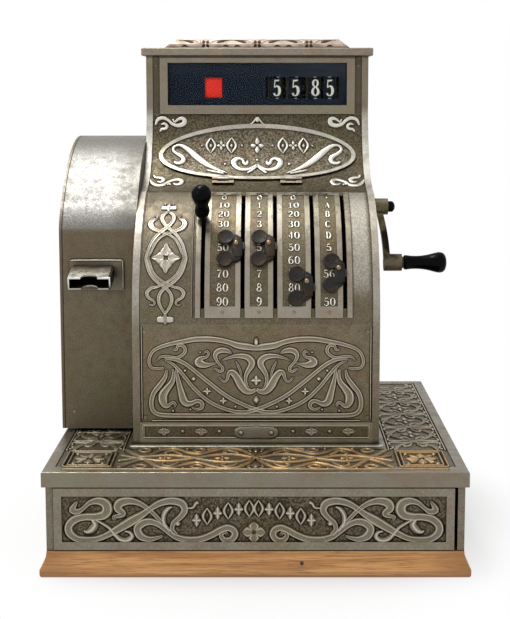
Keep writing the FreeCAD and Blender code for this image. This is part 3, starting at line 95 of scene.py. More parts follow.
class Shader:
    """Writes one node material. Each helper adds a node and gives back its output socket."""

    def __init__(self, name):
        self.material = bpy.data.materials.new(name)
        self.material.use_nodes = True
        self.tree = self.material.node_tree
        self.tree.nodes.clear()
        self.place = self.node("ShaderNodeTexCoord").outputs["Object"]

    def node(self, kind, **settings):
        made = self.tree.nodes.new(kind)
        for key, value in settings.items():
            setattr(made, key, value)
        return made

    def feed(self, socket, value):
        if isinstance(value, bpy.types.NodeSocket):
            self.tree.links.new(value, socket)
        elif isinstance(value, tuple) and len(value) == 3 and socket.type == "RGBA":
            socket.default_value = (*value, 1)
        else:
            socket.default_value = value

    def noise(self, size, detail=3.0, rough=0.55, twist=0.0, stretch=None):
        """Noise whose features are about size millimetres across."""
        where = self.stretched(stretch) if stretch else self.place
        made = self.node("ShaderNodeTexNoise")
        self.feed(made.inputs["Vector"], where)
        self.feed(made.inputs["Scale"], 1 / (size * MM))
        self.feed(made.inputs["Detail"], detail)
        self.feed(made.inputs["Roughness"], rough)
        self.feed(made.inputs["Distortion"], twist)
        return made.outputs["Fac"]

    def stretched(self, factors):
        made = self.node("ShaderNodeVectorMath", operation="MULTIPLY")
        self.feed(made.inputs[0], self.place)
        self.feed(made.inputs[1], factors)
        return made.outputs[0]

    def axis(self, name):
        made = self.node("ShaderNodeSeparateXYZ")
        self.feed(made.inputs[0], self.place)
        return made.outputs[name]

    def sum(self, operation, a, b=0.0):
        made = self.node("ShaderNodeMath", operation=operation)
        self.feed(made.inputs[0], a)
        self.feed(made.inputs[1], b)
        return made.outputs[0]

    def times(self, a, b):
        return self.sum("MULTIPLY", a, b)

    def step(self, value, low, high, to_low=0.0, to_high=1.0):
        """A soft step from to_low to to_high as value goes from low to high."""
        made = self.node("ShaderNodeMapRange", interpolation_type="SMOOTHSTEP")
        for key, given in zip(("Value", "From Min", "From Max", "To Min", "To Max"),
                              (value, low, high, to_low, to_high)):
            self.feed(made.inputs[key], given)
        return made.outputs[0]

    def mix(self, share, a, b, blend="MIX"):
        made = self.node("ShaderNodeMix", data_type="RGBA", blend_type=blend)
        self.feed(made.inputs[0], share)
        self.feed(made.inputs[6], a)
        self.feed(made.inputs[7], b)
        return made.outputs[2]

    def open_air(self, reach):
        """1 in the open and 0 deep in a corner, within reach millimetres."""
        made = self.node("ShaderNodeAmbientOcclusion", samples=8)
        self.feed(made.inputs["Distance"], reach * MM)
        return made.outputs["AO"]

    def edges(self, radius):
        """1 on sharp edges, where a bevel of this radius in millimetres would turn the surface."""
        bevel = self.node("ShaderNodeBevel", samples=4)
        self.feed(bevel.inputs["Radius"], radius * MM)
        plain = self.node("ShaderNodeNewGeometry")
        dot = self.node("ShaderNodeVectorMath", operation="DOT_PRODUCT")
        self.feed(dot.inputs[0], bevel.outputs[0])
        self.feed(dot.inputs[1], plain.outputs["Normal"])
        return self.step(dot.outputs["Value"], 0.99, 0.9)

    def relief(self, height, depth):
        """A bump whose height swings over depth millimetres."""
        made = self.node("ShaderNodeBump")
        self.feed(made.inputs["Height"], height)
        self.feed(made.inputs["Distance"], depth * MM)
        return made.outputs[0]

    def finish(self, **sockets):
        made = self.node("ShaderNodeBsdfPrincipled")
        for key, value in sockets.items():
            self.feed(made.inputs[key.replace("_", " ")], value)
        out = self.node("ShaderNodeOutputMaterial")
        self.tree.links.new(made.outputs[0], out.inputs[0])
        return self.material


def raised(s, kind):
    """1 on the raised borders of a CAD face and 0 on its sunk field."""
    if kind == "plate":
        off = s.sum("ABSOLUTE", s.sum("SUBTRACT", s.axis("Z"), PLATE_TOP * MM))
        rim = s.step(s.sum("ABSOLUTE", s.axis("X")), 0.2110, 0.2113)
        front = s.step(s.axis("Y"), -0.1813, -0.1810, 1.0, 0.0)
        return s.sum("MAXIMUM", s.step(off, 0.0004, 0.0009), s.sum("MAXIMUM", rim, front))
    if kind == "drawer":
        return s.step(s.axis("Y"), -0.1975, -0.1988)
    if kind == "band":
        return s.step(s.axis("Y"), -0.0930, -0.0938)
    if kind == "keys":
        return s.step(from_axis(s, KEY_AXIS), 0.1498, 0.1503)
    if kind == "lid":
        return s.step(from_axis(s, HEAD_AXIS), 0.1034, 0.1038, 1.0, 0.0)
    return None


def from_axis(s, axis):
    """How far a point is from the line along X through an axis' Y and Z."""
    moved = s.node("ShaderNodeVectorMath", operation="SUBTRACT")
    s.feed(moved.inputs[0], s.stretched((0.0, 1.0, 1.0)))
    s.feed(moved.inputs[1], (0.0, axis[0] * MM, axis[1] * MM))
    away = s.node("ShaderNodeVectorMath", operation="LENGTH")
    s.feed(away.inputs[0], moved.outputs[0])
    return away.outputs["Value"]


def between(s, axis, low, high, soft):
    """1 between two places along an axis, in millimetres, with ends that fade over soft."""
    at = s.axis(axis)
    return s.times(s.step(at, (low - soft) * MM, low * MM), s.step(at, high * MM, (high + soft) * MM, 1.0, 0.0))


def zones(s, kind, dark):
    """The places of one piece painted lighter or darker, as (share, colour): mostly painted highlights and painted
    shade, with a few tones of its own.
    """
    if kind == "stile":
        # Painted sheen: the side is painted paler, in speckles, beside the head and beside the keyboard.
        speck = s.step(s.noise(16, detail=4.0), 0.3, 0.6, 0.55, 1.0)
        head = s.times(between(s, "Z", 395, 466, 22), 0.9)
        keys = s.times(between(s, "Z", 275, 372, 45), 0.42)
        return [(s.times(s.sum("MAXIMUM", head, keys), speck), PAINTED_SHEEN)]
    if kind == "box":
        # Painted highlight: a pale speckled hot spot (over) high on the box's left curve and a lighter painted sheen
        # on its upper curve; the seam is a dark joint.
        speck = s.step(s.noise(2.4, detail=3.0, rough=0.75), 0.36, 0.58, 0.35, 1.0)
        over = s.times(between(s, "X", -212, -178, 34), between(s, "Z", 362, 425, 20))
        seam = s.step(s.sum("ABSOLUTE", s.sum("ADD", s.axis("X"), 0.2226)), 0.0004, 0.0009, 0.85, 0.0)
        painted_upper_sheen = s.times(between(s, "Z", 352, 449, 8), s.step(s.axis("Y"), 0.110, 0.127, 1.0, 0.0))
        painted_upper_sheen = s.times(painted_upper_sheen, s.step(s.axis("X"), -0.2224, -0.2216))
        return [(painted_upper_sheen, (0.170, 0.164, 0.145)),
                (s.times(over, speck), (0.30, 0.295, 0.275)), (seam, dark)]
    if kind == "keyboard":
        # Painted shade along the keyboard's crown, a painted highlight down its right side, and a darker low stretch
        # on its left.
        painted_crown_shade = s.times(between(s, "Z", 340, 392, 14), s.step(s.noise(20, detail=4.0), 0.35, 0.65, 0.3, 0.8))
        edge = s.times(between(s, "X", 110, 124, 5), between(s, "Z", 300, 372, 30))
        left = s.times(s.step(s.axis("X"), -0.070, -0.062, 0.45, 0.0), between(s, "Z", 300, 345, 20))
        return [(painted_crown_shade, (0.105, 0.092, 0.068)), (edge, (0.36, 0.335, 0.285)), (left, (0.120, 0.103, 0.075))]
    if kind == "frame":
        # Painted shade: dark grooves down the posts beside the window, and a painted shadow under the cap.
        sides = s.step(s.sum("ABSOLUTE", s.axis("X")), 0.1212, 0.1222)
        painted_groove_shade = s.times(sides, between(s, "Z", 478, 545, 1))
        painted_cap_shadow = s.step(s.axis("Z"), 0.5452, 0.5472, 0.0, 0.8)
        return [(s.times(painted_groove_shade, 0.85), (0.075, 0.06, 0.038)), (painted_cap_shadow, dark)]
    if kind == "crank":
        limb = s.times(between(s, "Z", 310, 350, 8),
                       s.step(s.noise(9, detail=2.0, stretch=(1.0, 1.0, 0.1)), 0.35, 0.6, 1.0, 0.85))
        return [(limb, dark)]
    if kind == "plate":
        # foot is painted shade where the plate meets the foot of the cabinet; front is a darker band of the field.
        foot = s.times(between(s, "Y", -97.6, -90, 1), between(s, "X", -139, 139, 2))
        front = s.times(between(s, "Y", -189, -180, 0.6), between(s, "X", -203, 203, 0.6))
        return [(s.times(front, 0.9), (0.125, 0.106, 0.074)), (s.times(foot, 0.9), dark)]
    if kind == "back":
        return [(s.step(s.axis("Y"), 0.1843, 0.1847, 1.0, 0.0), (0.012, 0.011, 0.009))]
    if kind == "crest":
        return [(s.step(s.axis("Z"), 0.5632, 0.5638, 1.0, 0.0), (0.62, 0.51, 0.43)),
                (s.step(s.axis("Z"), 0.5688, 0.5692), (0.25, 0.225, 0.185))]
    if kind == "chute":
        # Painted light on the chute: its top painted paler towards the mouth, its right face painted shade and its
        # mouth's lip a painted highlight.
        body = s.step(s.axis("Y"), -0.0475, -0.0460, 1.0, 0.0)
        painted_lip_highlight = s.times(body, s.step(s.axis("Y"), -0.0812, -0.0790, 1.0, 0.0))
        right = s.step(s.axis("X"), -0.1660, -0.1648)
        top = s.times(body, s.step(s.axis("Y"), -0.080, -0.050, 0.75, 0.1))
        return [(top, PAINTED_SHEEN), (s.times(right, body), dark), (painted_lip_highlight, (0.85, 0.84, 0.8))]
    return []


def aged_metal(name, bright, ground, dark, sunk=0.0, kind=None, rough=0.38, stipple=0.5, patches=0.5, copper=None,
               brushed=None, lifted=False, reach=5, ridge_highlight=0.75, fleck=1.3):
    """Old plate: raised borders polished brighter than the dull, brown sunk fields, with stains and wear; edges and
    relief ridges carry painted highlights and corners painted shade.
    """
    s = Shader(name)
    blotch = s.noise(38, detail=4.0, twist=0.6)
    fine = s.noise(fleck, detail=2.0, rough=0.7)
    grain = s.noise(0.45, detail=1.0)
    border = raised(s, kind)
    field = sunk if border is None else s.sum("SUBTRACT", 1.0, border)
    colour = s.mix(field, bright, ground)
    colour = s.mix(s.step(blotch, 0.42, 0.66, 0.0, patches), colour, s.mix(0.5, colour, ground))
    warm = s.step(s.noise(52, detail=3.0, twist=1.2), 0.44, 0.66, 0.0, 0.6)
    colour = s.mix(warm, colour, (1.0, 0.86, 0.80), blend="MULTIPLY")
    olive = s.step(s.noise(67, detail=3.0, twist=0.9), 0.46, 0.68, 0.0, 0.6)
    colour = s.mix(olive, colour, (0.92, 1.0, 0.80), blend="MULTIPLY")
    for share, tone in zones(s, kind, dark):
        colour = s.mix(share, colour, tone)
    if copper:
        worn = s.step(s.noise(24, detail=5.0, twist=1.0), 0.40, 0.62, 0.0, 0.8)
        if kind == "front relief":
            worn = s.times(s.step(worn, 0.0, 0.5, 0.25, 1.0), s.step(s.axis("X"), -0.15, -0.07))
        colour = s.mix(worn, colour, copper)
    stain = s.step(fine, 0.40, 0.62, stipple, 0.0)
    stain = s.times(stain, s.sum("ADD", s.times(field, 0.75), 0.25))
    colour = s.mix(stain, colour, dark)
    # Darker in corners, by ambient occlusion: painted shade, with grime.
    grime_and_shade = s.step(s.open_air(reach), 0.45, 0.93, 0.9, 0.0)
    colour = s.mix(grime_and_shade, colour, dark)
    if lifted:
        lift = s.node("ShaderNodeAttribute", attribute_name="lift").outputs["Fac"]
        # Ridge tops take the bright tone as painted highlights; the feet and skirts of strokes darken as painted
        # shade, with patina.
        colour = s.mix(s.step(lift, 0.86, 1.0, 0.0, ridge_highlight), colour, bright)
        colour = s.mix(s.step(lift, 0.05, 0.55, 0.92, 0.0), colour, dark)
    else:
        # Sharp edges take the bright tone: painted highlights.
        edge = s.edges(0.7)
        colour = s.mix(s.times(edge, 0.5), colour, bright)
    shine = s.step(s.noise(9, detail=5.0), 0.3, 0.75, rough - 0.08, rough + 0.16)
    shine = s.sum("ADD", shine, s.times(field, 0.12))
    height = s.sum("ADD", s.times(fine, field), s.times(grain, 0.15))
    if brushed:
        lines = s.noise(0.5, detail=2.0, stretch=brushed)
        shine = s.sum("ADD", shine, s.times(s.sum("SUBTRACT", lines, 0.5), 0.25))
        height = s.sum("ADD", height, s.times(lines, 0.3))
    return s.finish(Base_Color=colour, Metallic=1.0, Roughness=shine, Normal=s.relief(height, 0.35))




def wood(name, pale, deep, pores, along, rough, gloss, hole=None):
    """Wood whose grain runs along one axis: rings and streaks, then fine dark pores, and for a plinth a nail hole."""
    s = Shader(name)
    slim = [1.0, 1.0, 1.0]
    slim["XYZ".index(along)] = 0.035
    slim = tuple(slim)
    streaks = s.noise(9, detail=7.0, rough=0.62, twist=0.8, stretch=slim)
    broad = s.noise(120, detail=2.0, twist=0.5)
    lines = s.noise(1.1, detail=3.0, rough=0.65, stretch=slim)
    colour = s.mix(s.step(streaks, 0.34, 0.62), pale, deep)
    colour = s.mix(s.step(broad, 0.35, 0.7, 0.0, 0.35), colour, deep)
    colour = s.mix(s.step(lines, 0.5, 0.64, 0.0, 0.6), colour, pores)
    # Darker in corners, by ambient occlusion: painted shade.
    colour = s.mix(s.step(s.open_air(14), 0.3, 0.9, 0.65, 0.0), colour, pores)
    if hole:
        ends = s.step(s.sum("ABSOLUTE", s.axis("X")), 0.165, 0.228, 0.0, 0.75)
        foot = s.step(s.axis("Z"), 0.0005, 0.0075, 0.7, 0.0)
        colour = s.mix(s.sum("MAXIMUM", ends, foot), colour, (0.30, 0.125, 0.036))
        away = s.node("ShaderNodeVectorMath", operation="DISTANCE")
        s.feed(away.inputs[0], s.stretched((1.0, 0.0, 1.0)))
        s.feed(away.inputs[1], hole)
        nail = s.times(s.step(away.outputs["Value"], 0.0014, 0.0026, 1.0, 0.0),
                       s.step(s.axis("Y"), -0.1, 0.0, 1.0, 0.0))
        colour = s.mix(nail, colour, (0.02, 0.01, 0.005))
    colour = s.mix(s.times(s.edges(1.2), 0.3), colour, pale)
    shine = s.step(streaks, 0.2, 0.8, rough, rough + 0.15)
    return s.finish(Base_Color=colour, Roughness=shine, Coat_Weight=gloss, Coat_Roughness=0.25,
                    Normal=s.relief(s.sum("SUBTRACT", streaks, lines), 0.25))


def lacquer(name, colour, worn):
    """Polished black with fine scratches and a dull rubbed haze."""
    s = Shader(name)
    haze = s.noise(14, detail=4.0)
    scratch = s.noise(0.7, detail=3.0, stretch=(0.15, 1.0, 1.0))
    tone = s.mix(s.step(haze, 0.45, 0.75, 0.0, 0.5), colour, worn)
    tone = s.mix(s.times(s.edges(0.8), 0.35), tone, worn)
    shine = s.sum("ADD", s.step(haze, 0.3, 0.8, 0.12, 0.34), s.times(scratch, 0.08))
    return s.finish(Base_Color=tone, Roughness=shine, Specular_IOR_Level=0.03, Coat_Weight=0.05, Coat_Roughness=0.05,
                    Normal=s.relief(scratch, 0.05))


def enamel(name, colour, soot_and_shade, rough=0.45, haze=None):
    """Painted metal with a faint orange-peel skin, soot blotches, painted shade in the corners and, where haze is
    given, a painted reflection: pale streaks high on the face.
    """
    s = Shader(name)
    skin = s.noise(2.2, detail=2.0)
    tone = s.mix(s.step(s.noise(18, detail=5.0), 0.4, 0.75, 0.0, 0.4), colour, soot_and_shade)
    # The haze is a painted reflection: pale streaks high on the face, stronger to the right.
    if haze:
        streaks = s.noise(7, detail=4.0, stretch=(0.08, 1.0, 1.0))
        high = s.times(s.step(s.axis("Z"), 0.516, 0.537), s.step(s.axis("X"), -0.02, 0.08, 0.4, 1.0))
        tone = s.mix(s.times(high, s.step(streaks, 0.35, 0.65, 0.25, 0.8)), tone, haze)
    # Darker in corners, by ambient occlusion: painted shade.
    tone = s.mix(s.step(s.open_air(8), 0.3, 0.9, 0.6, 0.0), tone, soot_and_shade)
    return s.finish(Base_Color=tone, Roughness=s.step(skin, 0.3, 0.7, rough, rough + 0.15), Specular_IOR_Level=0.06,
                    Normal=s.relief(skin, 0.08))


def clear_glass():
    """A thin pane: nearly clear, faintly green, with old glass's gentle waves."""
    s = Shader("clear_glass")
    waves = s.noise(45, detail=1.0, twist=0.4)
    tint = s.mix(s.step(waves, 0.35, 0.7, 0.0, 0.4), (0.97, 0.985, 0.97), (0.93, 0.965, 0.94))
    return s.finish(Base_Color=tint, Roughness=s.step(s.noise(6, detail=3.0), 0.3, 0.8, 0.0, 0.03), IOR=1.12,
                    Transmission_Weight=1.0, Normal=s.relief(waves, 0.12))


def paper_stock():
    s = Shader("paper_stock")
    fibre = s.noise(0.8, detail=4.0, stretch=(1.0, 0.3, 1.0))
    layers = s.noise(0.35, detail=1.0)
    tone = s.mix(s.step(fibre, 0.35, 0.7), (0.72, 0.68, 0.58), (0.63, 0.57, 0.46))
    # Darker in corners, by ambient occlusion: painted shade.
    tone = s.mix(s.step(s.open_air(10), 0.3, 0.9, 0.4, 0.0), tone, (0.35, 0.28, 0.18))
    return s.finish(Base_Color=tone, Roughness=0.85, Normal=s.relief(s.sum("ADD", fibre, layers), 0.1))


LOOKS = {
    "plate": aged_metal("cover_plate_metal", (0.225, 0.199, 0.158), (0.162, 0.140, 0.100), DARK, kind="plate",
                        stipple=0.5, brushed=ACROSS, reach=3),
    "drawer": aged_metal("drawer_metal", (0.250, 0.220, 0.174), (0.148, 0.125, 0.088), DARK, kind="drawer",
                         stipple=0.85, reach=3, fleck=2.0),
    "band": aged_metal("band_metal", (0.34, 0.298, 0.232), (0.175, 0.142, 0.092), DARK, kind="band", reach=2),
    "keys": aged_metal("number_strip_metal", (0.32, 0.288, 0.235), (0.146, 0.121, 0.084), DARK, kind="keys",
                       rough=0.32, stipple=0.45, fleck=2.0),
    "lid": aged_metal("lid_metal", (0.47, 0.445, 0.39), (0.190, 0.168, 0.124), DARK, kind="lid", stipple=0.85, reach=3,
                      fleck=2.2),
    "head": aged_metal("head_ground_metal", (0.28, 0.25, 0.195), (0.126, 0.108, 0.073), DARK, sunk=1.0, stipple=0.75,
                       fleck=2.2),
    "keyboard": aged_metal("keyboard_metal", RIM, (0.176, 0.148, 0.104), DARK, sunk=1.0, stipple=0.35, rough=0.38,
                           kind="keyboard", fleck=2.0),
    "ground": aged_metal("panel_ground_metal", RIM, GROUND, DARK, sunk=1.0, rough=0.4, stipple=0.4, reach=3),
    "plain": aged_metal("plain_metal", (0.36, 0.33, 0.28), (0.19, 0.164, 0.122), DARK, sunk=0.65, stipple=0.35,
                        brushed=ACROSS),
    "stile": aged_metal("cabinet_side_metal", (0.42, 0.39, 0.33), (0.205, 0.172, 0.128), DARK, sunk=0.85, stipple=0.3,
                        brushed=UPRIGHT, rough=0.34, kind="stile"),
    "back": aged_metal("cabinet_back_metal", (0.36, 0.33, 0.28), (0.205, 0.172, 0.128), DARK, sunk=0.85, stipple=0.3,
                       brushed=UPRIGHT, rough=0.4, kind="back"),
    "frame": aged_metal("window_frame_metal", (0.44, 0.40, 0.34), (0.215, 0.180, 0.135), DARK, sunk=0.8, stipple=0.3,
                        brushed=ACROSS, rough=0.34, kind="frame"),
    "box": aged_metal("ticket_box_metal", (0.33, 0.30, 0.245), (0.140, 0.114, 0.074), DARK, sunk=0.9, stipple=0.35,
                      rough=0.33, brushed=(1.0, 1.0, 0.2), kind="box"),
    "chute": aged_metal("chute_metal", (0.40, 0.375, 0.32), (0.150, 0.122, 0.080), SOOT_AND_SHADE, sunk=0.85,
                        stipple=0.2, rough=0.3, reach=24, kind="chute"),
    "case": aged_metal("case_metal", (0.33, 0.30, 0.25), (0.165, 0.140, 0.105), DARK, sunk=0.7, stipple=0.4,
                       brushed=(0.06, 0.06, 1.0)),
    "panel_relief": aged_metal("panel_relief_metal", (0.74, 0.68, 0.58), (0.235, 0.196, 0.140), DARK, sunk=0.9,
                               rough=0.34, stipple=0.2, patches=0.35, lifted=True, ridge_highlight=0.95),
    "key_relief": aged_metal("keyboard_relief_metal", (0.54, 0.50, 0.43), (0.29, 0.257, 0.205), DARK, sunk=0.6,
                             rough=0.32, stipple=0.2, patches=0.35, lifted=True),
    "head_relief": aged_metal("head_relief_metal", (0.60, 0.575, 0.51), (0.41, 0.38, 0.315), DARK, sunk=0.4,
                              rough=0.36, stipple=0.3, patches=0.25, lifted=True),
    "band_relief": aged_metal("band_relief_metal", (0.52, 0.475, 0.40), (0.27, 0.23, 0.17), DARK, sunk=0.8,
                              rough=0.34, stipple=0.2, lifted=True, ridge_highlight=0.9),
    "drawer_relief": aged_metal("drawer_relief_metal", (0.60, 0.55, 0.47), (0.185, 0.156, 0.113), DARK, sunk=0.9,
                                rough=0.34, stipple=0.3, patches=0.4, lifted=True, ridge_highlight=0.8),
    "side_relief": aged_metal("plate_side_relief_metal", (0.56, 0.51, 0.42), (0.215, 0.184, 0.130), DARK, sunk=0.8,
                              rough=0.36, stipple=0.3, lifted=True, ridge_highlight=0.9),
    "front_relief": aged_metal("plate_front_relief_metal", (0.42, 0.35, 0.25), (0.185, 0.155, 0.100), DARK, sunk=0.85,
                               rough=0.36, stipple=0.2, copper=GOLD, kind="front relief", lifted=True, ridge_highlight=0.6),
    "figures": aged_metal("figure_metal", (0.66, 0.63, 0.56), (0.50, 0.46, 0.39), DARK, sunk=0.2, rough=0.34,
                          stipple=0.12, patches=0.2, lifted=True),
    "crest": aged_metal("crest_metal", (0.34, 0.285, 0.245), (0.255, 0.20, 0.165), (0.07, 0.045, 0.03), sunk=0.5,
                        copper=(0.29, 0.225, 0.178), rough=0.5, stipple=0.2, kind="crest"),
    "bead": aged_metal("crest_bead_metal", (0.42, 0.36, 0.31), (0.34, 0.28, 0.235), (0.07, 0.045, 0.03), sunk=0.4,
                       rough=0.4, stipple=0.2, lifted=True),
    "hollow": aged_metal("shadowed_hollow", (0.085, 0.062, 0.045), (0.05, 0.036, 0.026), DARK, sunk=0.7, rough=0.6),
    "copper": aged_metal("copper_worn_metal", (0.47, 0.405, 0.335), (0.27, 0.215, 0.165), (0.06, 0.038, 0.025),
                         sunk=0.5, stipple=0.35, copper=(0.36, 0.275, 0.205)),
    "cap": aged_metal("cap_metal", (0.42, 0.385, 0.335), (0.195, 0.167, 0.136), DARK, sunk=0.7, stipple=0.3,
                      copper=(0.30, 0.235, 0.19), brushed=ACROSS),
    "steel": aged_metal("oiled_steel", (0.16, 0.153, 0.14), (0.06, 0.056, 0.05), SOOT_AND_SHADE, sunk=0.7,
                        stipple=0.4, brushed=(0.08, 1.0, 1.0)),
    "crank": aged_metal("crank_metal", (0.225, 0.197, 0.158), (0.098, 0.081, 0.058), (0.008, 0.007, 0.006), sunk=0.75,
                        stipple=0.4, rough=0.3, copper=(0.19, 0.145, 0.085), kind="crank"),
    "brass": aged_metal("dull_brass", (0.36, 0.28, 0.17), (0.19, 0.14, 0.085), (0.05, 0.032, 0.015), sunk=0.5,
                        stipple=0.4, rough=0.3),
    "bronze": aged_metal("dark_bronze_metal", (0.080, 0.077, 0.072), (0.027, 0.027, 0.029), (0.005, 0.004, 0.003),
                         sunk=0.8, stipple=0.5, rough=0.4, copper=(0.060, 0.040, 0.028)),
    "cream": enamel("cream_enamel", (0.95, 0.94, 0.86), (0.66, 0.64, 0.56)),
    "flag_red": enamel("red_enamel", (1.0, 0.040, 0.028), (0.86, 0.035, 0.025)),
    "flag_green": enamel("green_enamel", (0.03, 0.20, 0.08), (0.02, 0.11, 0.045)),
    "oak": wood("oiled_oak", (0.78, 0.41, 0.147), (0.45, 0.196, 0.056), (0.16, 0.066, 0.020), "X", 0.45, 0.12,
                hole=(0.0485, 0.0, 0.0150)),
    "box_wood": wood("inner_hardwood", (0.40, 0.26, 0.14), (0.27, 0.16, 0.08), (0.11, 0.06, 0.03), "X", 0.6, 0.0),
    "black": lacquer("black_polish", (0.0012, 0.0012, 0.0018), (0.005, 0.005, 0.006)),
    # The mask's haze is a painted reflection, as from the glass in front of it.
    "mask": enamel("dark_mask_enamel", (0.010, 0.021, 0.043), (0.004, 0.007, 0.014), haze=(0.12, 0.135, 0.165)),
    "drum": enamel("drum_enamel_black", (0.003, 0.005, 0.012), (0.006, 0.008, 0.018), 0.4),
    "glass": clear_glass(),
    "paper": paper_stock(),
}

BY_SLOT = {"nickel": "plain", "copper_worn_nickel": "copper", "oak": "oak", "inner_wood": "box_wood", "steel": "steel",
           "brass": "brass", "dark_bronze": "bronze", "black_lacquer": "black", "glass": "glass",
           "dark_enamel": "mask", "drum_enamel": "drum", "paper": "paper"}
BY_NODE = {"base_cover_plate": "plate", "drawer_front": "drawer", "base_band": "band", "number_strips": "keys",
           "keyboard_plate": "keyboard", "lower_front_panel": "ground", "cabinet_left_side": "stile",
           "cabinet_right_side": "stile", "drawer_case": "case", "crank_arm": "crank", "marquee_panel": "head",
           "oval_lid": "lid", "top_cap": "cap", "cabinet_back": "back", "top_crest": "crest", "crank_nut": "black",
           "hinge_leaves_and_pins": "copper",
           "ticket_box_shell": "box", "ticket_box_door": "box", "ticket_chute": "chute", "window_frame": "frame"}


def dress_nodes():
    """Every CAD node gets the look of its own, or else of its material slot."""
    slots = {part["node"]: part["material_slot"] for part in frame["record"]["subparts"]}
    for name, piece in NODES.items():
        look = LOOKS[BY_NODE.get(name, BY_SLOT[slots[name]])]
        if not piece.material_slots:
            piece.data.materials.append(look)
        for place in piece.material_slots:
            place.material = look


# ---------------------------------------------------------------- camera, light and floor


def make_camera():
    lens = bpy.data.cameras.new("camera")
    lens.sensor_fit = "AUTO"
    lens.sensor_width = 36.0
    lens.lens = FOCAL / IMAGE[1] * lens.sensor_width
    lens.shift_x = (IMAGE[0] / 2 - CENTRE[0]) / IMAGE[1]
    lens.shift_y = (CENTRE[1] - IMAGE[1] / 2) / IMAGE[1]
    lens.clip_start = 0.05
    camera = bpy.data.objects.new("camera", lens)
    camera.location = EYE * MM
    camera.rotation_euler = (math.pi / 2 - TILT, 0, 0)
    scene.collection.objects.link(camera)
    scene.camera = camera


def soft_box(name, at, towards, width, height, power):
    lamp = bpy.data.lights.new(name, "AREA")
    lamp.shape = "RECTANGLE"
    lamp.size, lamp.size_y, lamp.energy = width, height, power
    box = bpy.data.objects.new(name, lamp)
    box.location = at
    box.rotation_euler = (Vector(towards) - Vector(at)).to_track_quat("-Z", "Y").to_euler()
    scene.collection.objects.link(box)


def make_studio():
    """White all round for the eye and for reflections, with a dimmer sky for the light itself."""
    world = bpy.data.worlds.new("studio")
    world.use_nodes = True
    scene.world = world
    tree = world.node_tree
    back = tree.nodes["Background"]
    path = tree.nodes.new("ShaderNodeLightPath")
    seen = path.outputs["Is Camera Ray"]
    for name in ("Is Glossy Ray", "Is Transmission Ray"):
        either = tree.nodes.new("ShaderNodeMath")
        either.operation = "MAXIMUM"
        tree.links.new(seen, either.inputs[0])
        tree.links.new(path.outputs[name], either.inputs[1])
        seen = either.outputs[0]
    level = tree.nodes.new("ShaderNodeMapRange")
    level.inputs["To Min"].default_value = 0.45
    tree.links.new(seen, level.inputs["Value"])
    tree.links.new(level.outputs[0], back.inputs["Strength"])
    back.inputs["Color"].default_value = (1, 1, 1, 1)

    mesh = bpy.data.meshes.new("floor")
    made = bmesh.new()
    rings, sides, nearest, growth = 25, 48, 0.06, 1.2
    for ring in range(rings):
        far = nearest * growth ** ring
        for n in range(sides):
            turn = math.tau * n / sides
            made.verts.new((far * math.cos(turn), far * math.sin(turn), 0))
    made.verts.ensure_lookup_table()
    made.faces.new([made.verts[n] for n in range(sides)])
    for ring in range(rings - 1):
        for n in range(sides):
            a, b = ring * sides + n, ring * sides + (n + 1) % sides
            made.faces.new([made.verts[k] for k in (a, a + sides, b + sides, b)])
    made.to_mesh(mesh)
    floor = bpy.data.objects.new("floor", mesh)
    scene.collection.objects.link(floor)
    s = Shader("pale_floor")
    away = s.node("ShaderNodeVectorMath", operation="LENGTH")
    s.feed(away.inputs[0], s.place)
    grain = s.step(s.noise(3, detail=3.0), 0.3, 0.7)
    plain = s.node("ShaderNodeBsdfPrincipled")
    s.feed(plain.inputs["Base Color"], s.mix(grain, (0.80, 0.80, 0.795), (0.83, 0.83, 0.825)))
    s.feed(plain.inputs["Roughness"], 0.7)
    s.feed(plain.inputs["Specular IOR Level"], 0.2)
    glow = s.node("ShaderNodeEmission")
    both = s.node("ShaderNodeMixShader")
    s.feed(both.inputs[0], s.step(away.outputs["Value"], 0.22, 0.36, 0.6, 1.0))
    s.tree.links.new(plain.outputs[0], both.inputs[1])
    s.tree.links.new(glow.outputs[0], both.inputs[2])
    out = s.node("ShaderNodeOutputMaterial")
    s.tree.links.new(both.outputs[0], out.inputs[0])
    mesh.materials.append(s.material)
    soft_box("soft_box_above", (-0.4, 0.1, 1.75), (-0.08, 0.02, 0.38), 0.9, 0.5, 24)
    soft_box("soft_box_left", (-1.5, -1.3, 1.0), (0, 0, 0.3), 0.9, 1.2, 7)


# ---------------------------------------------------------------- surfaces that ornament lies on


class Front:
    """An upright face that looks towards the operator, at this Y."""

    def __init__(self, y):
        self.y = y

    def at(self, u, v, h):
        return u, self.y - h, v


class Level:
    """A level face at this Z."""

    def __init__(self, z):
        self.z = z

    def at(self, u, v, h):
        return u, v, self.z + h


class Round:
    """A face that curves about a line along X. side is -1 where it bulges to the front and 1 where it is hollow."""

    def __init__(self, axis, radius, side):
        self.y, self.z = axis
        self.radius, self.side = radius, side

    def at(self, u, v, h):
        turn = v / self.radius
        r = self.radius - self.side * h
        return u, self.y + self.side * r * np.cos(turn), self.z + r * np.sin(turn)


class Slope:
    """A flat face that leans back: it starts at Y and Z and rises by this angle in degrees."""

    def __init__(self, y, z, angle):
        self.y, self.z, self.turn = y, z, math.radians(angle)

    def at(self, u, v, h):
        across, up = math.cos(self.turn), math.sin(self.turn)
        return u, self.y + v * across - h * up, self.z + v * up + h * across


# ---------------------------------------------------------------- strokes of raised metal

ROUND = ((-1, 0), (-0.86, 0.5), (-0.5, 0.87), (0, 1), (0.5, 0.87), (0.86, 0.5), (1, 0))
RIDGED = ((-1, 0), (-0.9, 0.7), (-0.68, 1), (-0.4, 0.8), (0, 0.42), (0.4, 0.8), (0.68, 1), (0.9, 0.7), (1, 0))
FLAT = ((-1, 0), (-0.92, 0.8), (-0.75, 1), (0, 1), (0.75, 1), (0.92, 0.8), (1, 0))

